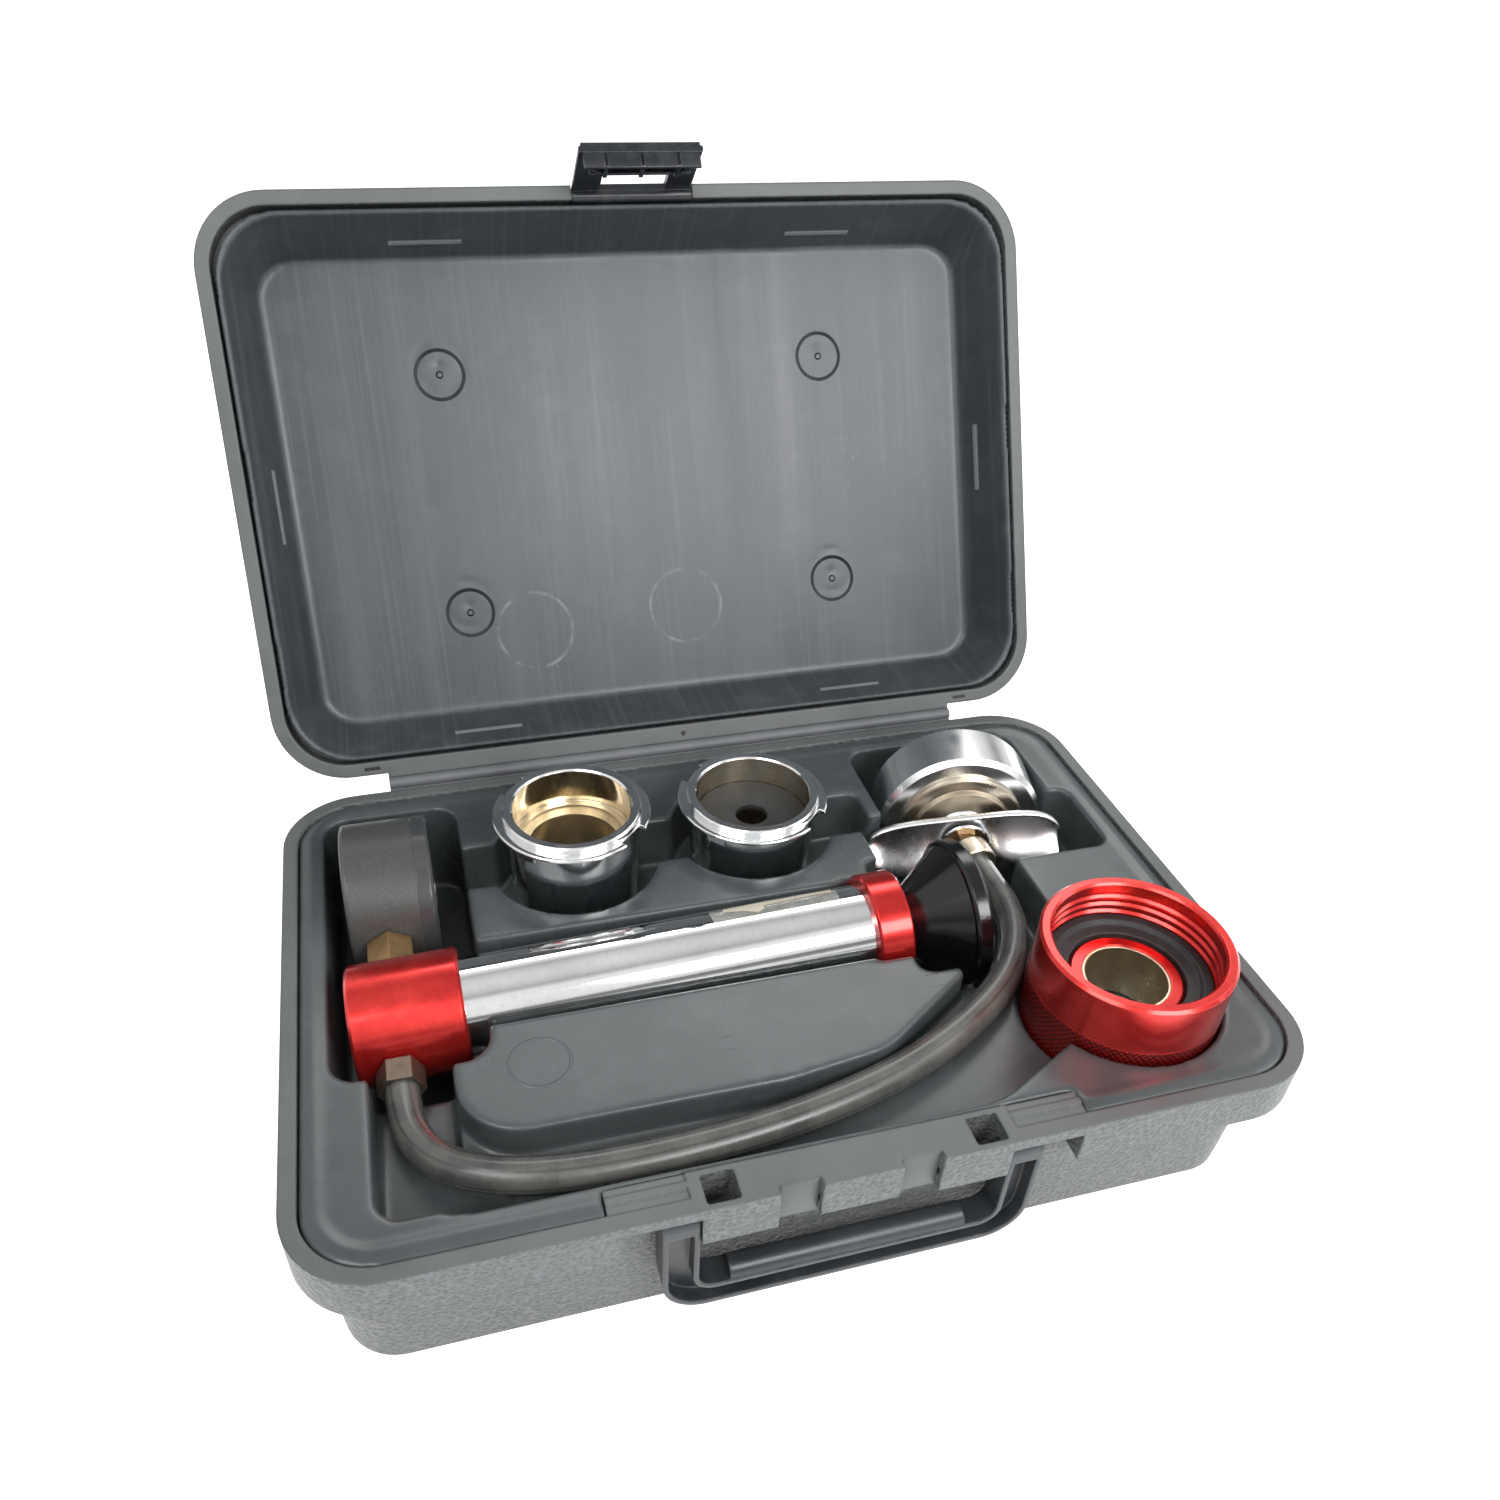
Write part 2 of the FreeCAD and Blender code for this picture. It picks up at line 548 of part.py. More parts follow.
def lid_shell():
    owner = body("lid_shell")
    plate(owner, LID_LOW, lid_outline("0"), "lid_band")
    low = sketch(owner, "XY_Plane", ("0", "0", LID_LOW + " + lid_band"))
    outline(low, lid_outline("lid_inset"))
    crown = "(lid_height - lid_band)"
    tapered(feature(owner, "Pad", low, crown), "lid_draft", crown)
    plate(owner, LID_LOW + " + lid_band - shell_wall", lid_outline("rim_width"),
          "lid_band", "Pocket")
    plate(owner, LID_LOW + " + lid_height - shell_wall",
          lid_outline("(lid_inset + lid_draft + shell_wall)"), "lid_height", "Pocket")
    # leaf that laps the hinge rod, then the slot and the bores of the latch
    block(owner, "0 - hinge_half", "hinge_half", "0 - hinge_back - 0.5", "0", "0.2",
          LID_LOW, "1.4")
    rod(owner, "YZ_Plane", ("0", "0", "0 - hinge_half - 1"), "hinge_radius + hinge_play",
        "2 * hinge_half + 2", "Pocket", True)
    slot = "(latch_in + latch_barrel + latch_play)"
    block(owner, "0 - latch_half - latch_play", "latch_half + latch_play",
          "0 - hinge_back - case_depth - 2", "%s - hinge_back - case_depth" % slot, "0.5",
          LID_LOW + " + latch_rise + latch_in + latch_play + 0.1", "lid_band", "Pocket")
    rod(owner, "YZ_Plane", (LATCH_Y, LATCH_Z, "0 - latch_half - 4"), "latch_pin + 0.02",
        "2 * latch_half + 8", "Pocket", True)
    keep(owner, "lid_shell", in_lid)


def dish(grow):
    """Mouth and ceiling outlines of the dished liner, grown by a wall."""
    mouth = lid_outline("(dish_side - dish_slope - %s)" % grow,
                        "(dish_front - dish_slope - %s)" % grow,
                        "(dish_back - dish_slope - %s)" % grow, "dish_corner + dish_slope")
    ceiling = lid_outline("(dish_side - %s)" % grow, "(dish_front - %s)" % grow,
                          "(dish_back - %s)" % grow, "dish_corner")
    return mouth, ceiling


def lid_liner():
    owner = body("lid_liner")
    for grow, kind, low, high in (("tray_wall", "AdditiveLoft", "0.3", "tray_wall"),
                                  ("0", "SubtractiveLoft", "0.3", "0")):
        mouth, ceiling = dish(grow)
        start = sketch(owner, "XY_Plane", ("0", "0", LID_LOW + " + " + low))
        outline(start, mouth)
        end = sketch(owner, "XY_Plane", ("0", "0", "%s + dish_depth + %s" % (LID_LOW, high)))
        outline(end, ceiling)
        feature(owner, kind, start, Sections=[end], Ruled=True)
    for x in ("dimple_x", "0 - dimple_x"):
        for y in ("dimple_y", "0 - dimple_y"):
            centre = (x, LID_LOW + " + dish_depth",
                      "hinge_back + case_depth / 2 + 2 + " + y)
            spin(owner, [("dimple_radius - 1.5", "0 - 0.5"), ("dimple_radius", "0 - 0.5"),
                         ("dimple_radius - 0.3", "dimple_deep"),
                         ("dimple_radius - 1.2", "dimple_deep")], centre, kind="Groove")
            spin(owner, [("0", "0 - 0.5"), ("1.6", "0 - 0.5"), ("1.2", "dimple_deep"),
                         ("0", "dimple_deep")], centre, kind="Groove")
    keep(owner, "lid_liner", in_lid)


def latch():
    owner = body("latch")
    face = "(0 - latch_in)"
    inner = "(latch_thick - latch_in)"
    block(owner, "0 - latch_half", "latch_half", face, inner, "0.9", "0 - latch_long",
          "latch_long + 0.6")
    rod(owner, "YZ_Plane", ("0", "0", "0 - latch_half"), "latch_barrel", "2 * latch_half")
    # window for the land's middle bump, and two ribs beside it
    bottom = "(0 - latch_rise - lid_gap - bump_high - 0.4)"
    drawing = sketch(owner, "XZ_Plane", ("0", "0", "latch_in + 2"))
    box_outline(drawing, "0 - panel_in - latch_play", "panel_in + latch_play", bottom,
                "0 - latch_barrel", "0.3")
    feature(owner, "Pocket", drawing, "latch_in + 1.8")
    for x in ("0 - latch_half + 1", "0 - latch_half / 2 + 4", "latch_half / 2 - 5.2",
              "latch_half - 2.2"):
        block(owner, x, x + " + 1.2", "%s - latch_rib" % face, face + " + 0.4", "0.3",
              "1 - latch_long", "4.4")
    block(owner, "1 - latch_half", "latch_half - 1", "%s - latch_rib" % face, face + " + 0.4", "0.3",
          "0 - latch_long", "1.4")
    rod(owner, "YZ_Plane", ("0", "0", "0 - latch_half - 1"), "latch_pin + pivot_play",
        "2 * latch_half + 2", "Pocket", True)
    keep(owner, "latch", in_latch)


def latch_pin():
    owner = body("latch_pin")
    rod(owner, "YZ_Plane", ("0", "0", "0 - latch_half - 3.8"), "latch_pin", "2 * latch_half + 7.6")
    keep(owner, "latch_pin", lambda thing: in_latch(thing, "0"))


# pump
def pump_head():
    owner = body("pump_head")
    end, step = "head_long", "(head_long - socket)"
    spin(owner, [("0", "0"), ("head_radius - 1", "0"), ("head_radius", "1"),
                 ("head_radius", end + " - 1"), ("head_radius - 1", end),
                 ("barrel_radius + fit", end), ("barrel_radius + fit", step),
                 ("stem_hole", step), ("stem_hole", "stem_along"), ("0", "stem_along")])
    side = ("0", "stem_along", "0 - head_radius - 1")
    rod(owner, "XZ_Plane", side, "stem_flats / 2 + 2", "stem_seat + 1", "Pocket", True)
    rod(owner, "XZ_Plane", side, "stem_hole", "head_radius - 10", "Pocket", True)
    keep(owner, "pump_head", on_pump)


def pump_barrel():
    r, w = "barrel_radius", "barrel_wall"
    low, high = "(head_long - socket + 0.2)", "(collar_start + collar_long / 2 - 0.2)"
    turned("pump_barrel", [(r + " - " + w, low), (r, low), (r, high), (r + " - " + w, high)], on_pump)


def pump_collar():
    r, low, end = "collar_radius", "collar_start", "(collar_start + collar_long)"
    mid = "(collar_start + collar_long / 2)"
    turned("pump_collar", [("barrel_radius + 0.05", low), (r + " - 0.8", low), (r, low + " + 0.8"),
                           (r, end + " - 0.8"), (r + " - 0.8", end), ("rod_radius + rod_play", end),
                           ("rod_radius + rod_play", mid), ("barrel_radius + 0.05", mid)], on_pump)


KNOB = "(collar_start + collar_long + knob_gap)"


def plunger_rod():
    turned("plunger_rod", [("0", "piston_start"), ("rod_radius", "piston_start"),
                           ("rod_radius", KNOB + " + 9.9"), ("0", KNOB + " + 9.9")], on_pump)


def piston():
    r = "(barrel_radius - barrel_wall - rod_play)"
    low, high = "(piston_start + 0.5)", "(piston_start + piston_long)"
    turned("piston", [("rod_radius + 0.02", low), (r + " - 1", low), (r, low + " + 1"),
                      (r, low + " + 2.6"), (r + " - 1.4", low + " + 3"),
                      (r + " - 1.4", high + " - 3"), (r, high + " - 2.6"), (r, high + " - 1"),
                      (r + " - 1", high), ("rod_radius + 0.02", high)], on_pump)


def piston_seal():
    r = "(barrel_radius - barrel_wall - rod_play)"
    low, high = "(piston_start + 3.6)", "(piston_start + piston_long - 3.1)"
    turned("piston_seal", [(r + " - 1.35", low), (r, low), (r, high), (r + " - 1.35", high)], on_pump)


def pump_knob():
    z, r, rim = KNOB, "knob_large", "(%s + knob_cone)" % KNOB
    end = "(%s + knob_cone + knob_rim)" % KNOB
    turned("pump_knob", [("rod_radius + 0.02", z), ("knob_small - 0.6", z),
                         ("knob_small", z + " + 0.6"), (r + " - 2", rim), (r + " - 0.8", rim + " + 0.2"),
                         (r, rim + " + 1.2"), (r, end + " - 1.4"), (r + " - 1.4", end),
                         (r + " - 4", end), (r + " - 5.5", end + " - 1"), ("0", end + " - 1"),
                         ("0", z + " + 10"), ("rod_radius + 0.02", z + " + 10")], on_pump)


# gauge, drawn along +Z from its back
STEM_AT = "(stem_along * cos(pump_pitch) - gauge_start)"


def gauge_case():
    owner = body("gauge_case")
    r, w, lip = "gauge_radius", "gauge_wall", "(gauge_long - 5.9)"
    spin(owner, [("0", "0"), (r + " - 1.4", "0"), (r + " - 0.4", "0.5"), (r, "1.6"), (r, lip),
                 ("%s - %s" % (r, w), lip), ("%s - %s" % (r, w), w), ("0", w)])
    rod(owner, "XZ_Plane", ("0", STEM_AT, "gauge_radius + 1"), "5.2", "gauge_wall + 6",
        "Pocket")
    keep(owner, "gauge_case", on_gauge)


def gauge_bezel():
    r, low, end = "gauge_radius", "(gauge_long - 5.9)", "gauge_long"
    turned("gauge_bezel", [(r + " - 1.8", low), (r, low), (r, end + " - 1.2"), (r + " - 1", end),
                           (r + " - 3", end), (r + " - 3.4", end + " - 1.5"),
                           (r + " - 1.8", end + " - 1.5")], on_gauge)


def gauge_lens():
    r, end = "(gauge_radius - 1.85)", "(gauge_long - 1.5)"
    turned("gauge_lens", [("0", end + " - 2"), (r, end + " - 2"), (r, end), ("0", end)], on_gauge)


def gauge_dial():
    r, low = "(gauge_radius - gauge_wall - 0.1)", "(gauge_long - 10)"
    turned("gauge_dial", [("1.6", low), (r, low), (r, low + " + 1"), ("1.6", low + " + 1")], on_gauge)


def gauge_movement():
    owner = body("gauge_movement")
    block(owner, "0 - 9", "9", "0 - 8", "10", "1", "gauge_wall", "gauge_long - 10 - gauge_wall")
    rod(owner, "XY_Plane", ("0", "0", "gauge_long"), "1.06", "gauge_long - 12", "Pocket")
    keep(owner, "gauge_movement", on_gauge)


def gauge_pointer():
    owner = body("gauge_pointer")
    rod(owner, "XY_Plane", ("0", "0", "13"), "1", "gauge_long - 19.8")
    prism(owner, "XY_Plane", ("0", "0", "gauge_long - 7.6"),
          [("0 - 1.5", "0 - 7"), ("1.5", "0 - 7"), ("0.5", "20"), ("0 - 0.5", "20")], "0.8")
    rod(owner, "XY_Plane", ("0", "0", "gauge_long - 7.6"), "2.6", "1.2")
    keep(owner, "gauge_pointer", on_gauge)


def gauge_stem():
    owner = body("gauge_stem")
    seat = "(head_radius - stem_seat)"
    rod(owner, "XY_Plane", ("0", "0", seat + " - 3"), "stem_hole - 0.05", "4")
    prism(owner, "XY_Plane", ("0", "0", seat), [(y, x) for x, y in hexagon("stem_flats")],
          "gauge_y - gauge_radius - %s - 0.2" % seat)
    rod(owner, "XY_Plane", ("0", "0", seat + " + 1"), "5.1", "gauge_y - 8.2 - %s - 1" % seat)
    keep(owner, "gauge_stem", on_stem)


# hose and its end fittings
def hose_nipple():
    owner = body("hose_nipple")
    rod(owner, "XY_Plane", ("0", "0", "head_radius + 0.2"), "nipple_radius",
        "hose_start - head_radius - 0.2")
    keep(owner, "hose_nipple", on_nipple)


def hose_nut():
    owner = body("hose_nut")
    prism(owner, "XY_Plane", ("0", "0", "nut_start"), hexagon("nut_flats"), "nut_long")
    rod(owner, "XY_Plane", ("0", "0", "nut_start + nut_long + 1"), "hose_radius + hose_play",
        "nut_long + 1 - hose_start + nut_start", "Pocket")
    rod(owner, "XY_Plane", ("0", "0", "nut_start + nut_long + 1"), "nipple_radius + 0.02",
        "nut_long + 2", "Pocket")
    keep(owner, "hose_nut", on_nipple)


def hose_ferrule():
    r = "ferrule_radius"
    turned("hose_ferrule", [("hose_radius + hose_play", "0"), (r + " - 0.6", "0"), (r, "0.6"),
                            (r, "ferrule_long - 0.8"), (r + " - 0.8", "ferrule_long"),
                            ("2", "ferrule_long"), ("2", "ferrule_grip"),
                            ("hose_radius + hose_play", "ferrule_grip")], on_ferrule)


def hose_route():
    """The hose's corner points, from the nipple round the front of the tray to the ferrule."""
    start = Vector(num(STEM_X), num("pump_y - hose_start"), num(STEM_Z))
    end = Vector(num(FERRULE_X), num(FERRULE_Y + " + ferrule_grip"), num("ferrule_z"))
    level = num("channel_floor + hose_radius + 0.5")
    return [start, start + Vector(0, -15, 0), Vector(-122.4, -57, start.z + 0.9),
            Vector(-113.6, -69, start.z + 3.1), Vector(-99, -77.2, level - 0.1),
            Vector(-79, -80.8, level), Vector(-52, -81.2, level), Vector(-23, -79.4, level),
            Vector(4, -75, level), Vector(30, -67.6, level), Vector(54, -56.4, level),
            Vector(76, -41.2, level), Vector(89.5, -22.9, level - 0.4),
            Vector(95.6, -3.2, level - 1.8), Vector(end.x, end.y - 13.4, end.z), end]


def hose():
    route = hose_route()
    edges, here = [], route[0]
    for before, corner, after in zip(route, route[1:], route[2:]):
        back, ahead = before - corner, after - corner
        half = (math.pi - back.getAngle(ahead)) / 2
        reach = 0.45 * min(back.Length, ahead.Length)
        print("hose radius %.1f mm" % (reach / math.tan(half)))
        a = corner + back.normalize() * reach
        b = corner + ahead.normalize() * reach
        inward = (back + ahead).normalize()
        middle = corner + inward * (reach * (1 / math.cos(half) - 1) / math.tan(half))
        edges.append(Part.LineSegment(here, a).toShape())
        edges.append(Part.Arc(a, middle, b).toShape())
        here = b
    edges.append(Part.LineSegment(here, route[-1]).toShape())
    path = Part.Wire(edges)
    radius = num("hose_radius")
    ring = Part.Wire(Part.makeCircle(radius, route[0], route[1] - route[0]))
    solid = path.makePipeShell([ring], True, False)
    print("hose volume %.4f" % (solid.Volume / (math.pi * radius ** 2 * path.Length)))
    made = doc.addObject("Part::Feature", "hose")
    made.Shape = solid
    keep(made, "hose")


# cap head, drawn along -Y from the middle of its skirt
def capped(label, points):
    turned(label, [(r, "0 - (%s)" % s) for r, s in points], on_cap, role="XY_Plane")


HALF = "(skirt_long / 2)"


def cap_skirt():
    r, w = "skirt_radius", "skirt_wall"
    capped("cap_skirt", [("6", "%s - %s" % (HALF, w)), ("6", HALF), (r + " - 2", HALF),
                         (r, HALF + " - 2"), (r, "0 - " + HALF), ("%s - %s" % (r, w), "0 - " + HALF),
                         ("%s - %s" % (r, w), HALF + " - 2.4"),
                         ("%s - %s - 0.8" % (r, w), "%s - %s" % (HALF, w))])


def cap_seal():
    low, high = "(0 - %s - 1)" % HALF, "(seal_thick - %s - 1)" % HALF
    capped("cap_seal", [("stem_radius + stem_play", low), ("seal_radius - 0.8", low),
                        ("seal_radius", low + " + 0.8"), ("seal_radius", high),
                        ("stem_radius + stem_play", high)])


def cap_disc():
    r, low, high = "disc_radius", "(%s + 0.05)" % HALF, "(%s + disc_thick)" % HALF
    capped("cap_disc", [("stem_radius + stem_play", low), (r, low), (r, low + " + 1.6"),
                        (r + " - 1", low + " + 2.2"), (r + " - 5", low + " + 2.4"),
                        (r + " - 5.6", high), ("stem_radius + stem_play", high)])


def cap_spring():
    low, high = "(%s + disc_thick + 0.05)" % HALF, "(lever_start - 0.05)"
    capped("cap_spring", [("stem_radius + stem_play", low), ("12", low), ("9", high),
                          ("stem_radius + stem_play", high)])


def cap_stem():
    back = "(0 - %s - 1.1)" % HALF
    nut = "(lever_start + lever_sheet + 0.1)"
    owner = body("cap_stem")
    points = [("0", back + " - 2.6"), ("8", back + " - 2.6"), ("8", back), ("stem_radius", back),
              ("stem_radius", nut), ("0", nut)]
    spin(owner, [(r, "0 - (%s)" % s) for r, s in points], role="XY_Plane")
    prism(owner, "XZ_Plane", ("0", "0", nut + " - 0.02"), hexagon("cap_nut"), "cap_nut_long + 0.02")
    keep(owner, "cap_stem", on_cap)


def cap_lever():
    owner = body("cap_lever")
    drawing = sketch(owner, "XZ_Plane", ("0", "0", "lever_start"))
    outline(drawing, [("0 - 25", "0 - 6", "3"), ("0 - 14", "0 - 7.4", "3"), ("0 - 4", "0 - 9", "3"),
                      ("6", "0 - 9", "3"), ("26", "0", "4"), ("32", "0 - 9", "3"),
                      ("44", "0 - 8", "3"), ("34", "14", "4"), ("0 - 38", "14", "3"),
                      ("0 - 39", "3", "3"), ("0 - 28", "2", "2")])
    feature(owner, "Pad", drawing, "lever_sheet")
    fold = sketch(owner, "XZ_Plane", ("0", "0", "lever_start"))
    box_outline(fold, "0 - 37", "31", "14 - lever_sheet", "14", "0.5")
    feature(owner, "Pad", fold, "lever_fold")
    rod(owner, "XZ_Plane", ("0", "0", "lever_start + lever_fold"), "stem_radius + stem_play",
        "lever_fold + 1", "Pocket")
    keep(owner, "cap_lever", on_cap)


# neck adapters
def spot(near, far, half, sign):
    """A block across the flange, on a diagonal."""
    k = "0.7071 * "
    out = []
    for r, s in ((near, "0 - " + half), (far, "0 - " + half), (far, half), (near, half)):
        x, y = k + "(%s - (%s))" % (r, s), k + "(%s + (%s))" % (r, s)
        if sign == "gap":
            y = "0 - " + y
        out.append((x, y))
    return out


def neck_adapter(label, high, place):
    owner = body(label)
    h, r, b = high, "neck_radius", "neck_bore"
    spin(owner, [(b + " - 0.6", "0"), ("%s - neck_taper - 0.6" % r, "0"), ("%s - neck_taper" % r, "0.6"),
                 (r, h + " - 6"), (r, h + " - 4"), ("neck_flange - 0.4", h + " - 4"),
                 ("neck_flange", h + " - 3.6"), ("neck_flange", h + " - 2.8"),
                 ("neck_flange - 0.4", h + " - 2.4"), ("neck_lip", h + " - 2.4"),
                 ("neck_lip", h + " - 0.6"), ("neck_lip - 0.6", h), (b + " + 0.6", h),
                 (b, h + " - 0.6"), (b, h + " - bore_deep"), (b + " - 0.6", h + " - bore_deep")])
    for turned_by in (1, -1):
        gap = [("%d * (%s)" % (turned_by, x), "%d * (%s)" % (turned_by, y))
               for x, y in spot("neck_lip + 0.2", "neck_flange + 2", "6", "gap")]
        prism(owner, "XY_Plane", ("0", "0", h + " - 1"), gap, "4", "Pocket")
        tab = [("%d * (%s)" % (turned_by, x), "%d * (%s)" % (turned_by, y))
               for x, y in spot("neck_radius + 2.4", "neck_flange - 0.6", "3.5", "tab")]
        prism(owner, "XY_Plane", ("0", "0", h + " - 6.4"), tab, "2.6")
    keep(owner, label, place)


def neck_seat(label, high, place):
    h, r = high, "(neck_bore - 0.62)"
    top = h + " - bore_deep - 0.1"
    turned(label, [("seat_bore", "1"), (r, "1"), (r, top), (r + " - 2.2", top),
                   (r + " - 2.2", h + " - 17"), (r + " - 4.2", h + " - 17"),
                   (r + " - 4.2", "7"), ("seat_bore", "7")], place)


def neck_washer():
    r, low, high = "(neck_bore - 0.1)", "(neck_bh - bore_deep + 0.05)", "(neck_bh - 11.4)"
    turned("neck_washer_b", [("washer_hole", low), (r, low), (r, high), ("washer_hole", high)],
           on_neck_b)


# red threaded adapter
def red_adapter():
    b, d, p, h = "red_bore", "thread_deep", "thread_pitch", "red_high"
    thread = []
    for i in range(3):
        z = "(%s - 4 - %d * %s)" % (h, i, p)
        thread += [(b, z), (b + " + " + d, "%s - %s" % (z, d)), (b + " + " + d, "%s - 1.6" % z),
                   (b, "%s - 1.6 - %s" % (z, d))]
    points = [("hub_bore", "0"), ("knurl_radius - 1.2", "0"), ("knurl_radius", "1.2"),
              ("knurl_radius", "knurl_high"), ("red_radius", "knurl_high + 0.5"),
              ("red_radius", h + " - 1"), ("red_radius - 1", h), (b + " + 0.8", h),
              (b, h + " - 0.8")] + thread + \
             [(b, "red_web"), ("hub_radius", "red_web"), ("hub_radius", "hub_high - 1"),
              ("hub_radius - 1", "hub_high"), ("hub_bore", "hub_high")]
    turned("red_adapter", points, on_red)


def red_gasket():
    low, high = "(red_web + 0.02)", "(red_web + gasket_thick)"
    turned("red_gasket", [("hub_radius + 0.3", low), ("red_bore - 0.3", low),
                          ("red_bore - 0.3", high), ("red_bore - 3.4", high),
                          ("red_bore - 4.4", high + " - 1.4"),
                          ("hub_radius + 0.3", high + " - 1.8")], on_red)


def red_sleeve():
    r = "(hub_bore - 0.02)"
    turned("red_sleeve", [(r + " - sleeve_wall", "0.3"), (r, "0.3"), (r, "hub_high - 0.4"),
                          (r + " - sleeve_wall", "hub_high - 0.4")], on_red)


for make in (base_shell, base_tray, hinge_rod, handle, lid_shell, lid_liner, latch, latch_pin,
             pump_head, pump_barrel, pump_collar, plunger_rod, piston, piston_seal, pump_knob,
             gauge_case, gauge_bezel, gauge_lens, gauge_dial, gauge_movement, gauge_pointer,
             gauge_stem, hose_nipple, hose_nut, hose_ferrule, hose, cap_skirt, cap_seal, cap_disc,
             cap_spring, cap_stem, cap_lever):
    make()
neck_adapter("neck_adapter_a", "neck_ah", on_neck_a)
neck_adapter("neck_adapter_b", "neck_bh", on_neck_b)
neck_seat("neck_seat_a", "neck_ah", on_neck_a)
neck_seat("neck_seat_b", "neck_bh", on_neck_b)
neck_washer()
red_adapter()
red_gasket()
red_sleeve()
doc.recompute()

bad = [o.Label for o in doc.Objects if "Invalid" in o.State or "Error" in o.State]
bad += [o.Label for o in nodes if o.Shape.isNull() or not o.Shape.isValid()]
if bad:
    raise RuntimeError("not built: " + ", ".join(bad))
os.makedirs("parts", exist_ok=True)
for thing in nodes:
    thing.Shape.exportStep("parts/%s.step" % thing.Label)
    print("%-16s %10.1f mm3 %d solid" % (thing.Label, thing.Shape.Volume, len(thing.Shape.Solids)))
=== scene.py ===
import math

import bmesh
import bpy
from mathutils import Matrix, Vector


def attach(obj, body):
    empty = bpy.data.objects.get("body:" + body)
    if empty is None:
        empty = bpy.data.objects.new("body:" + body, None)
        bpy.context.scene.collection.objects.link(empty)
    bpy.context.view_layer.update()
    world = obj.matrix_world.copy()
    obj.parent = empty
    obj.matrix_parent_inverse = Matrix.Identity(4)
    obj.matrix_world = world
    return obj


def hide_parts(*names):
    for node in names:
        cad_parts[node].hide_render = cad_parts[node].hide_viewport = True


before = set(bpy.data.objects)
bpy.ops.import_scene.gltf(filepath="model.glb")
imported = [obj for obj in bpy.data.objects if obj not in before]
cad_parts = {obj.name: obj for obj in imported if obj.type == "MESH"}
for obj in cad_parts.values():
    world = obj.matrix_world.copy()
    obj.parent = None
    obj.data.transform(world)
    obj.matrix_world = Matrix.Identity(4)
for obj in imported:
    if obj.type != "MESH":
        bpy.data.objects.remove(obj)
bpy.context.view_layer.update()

scene = bpy.context.scene
scene.view_settings.view_transform = "Standard"


# camera, solved from the photograph's case rim, lid rim and hinge line
cam = bpy.data.objects.new("cam", bpy.data.cameras.new("cam"))
scene.collection.objects.link(cam)
right = Vector((0.962467, -0.268533, 0.039338))
forward = Vector((0.234813, 0.751245, -0.616842)).normalized()
up = right.cross(forward).normalized()
right = forward.cross(up).normalized()
turn = Matrix((right, up, -forward)).transposed().to_4x4()
cam.matrix_world = Matrix.Translation((-0.10277, -0.291, 0.35159)) @ turn
cam.data.sensor_width = 36
cam.data.lens = 28.855
cam.data.shift_x = 0.0116
cam.data.shift_y = 0.04241
cam.data.clip_start = 0.01
cam.data.clip_end = 100
scene.camera = cam


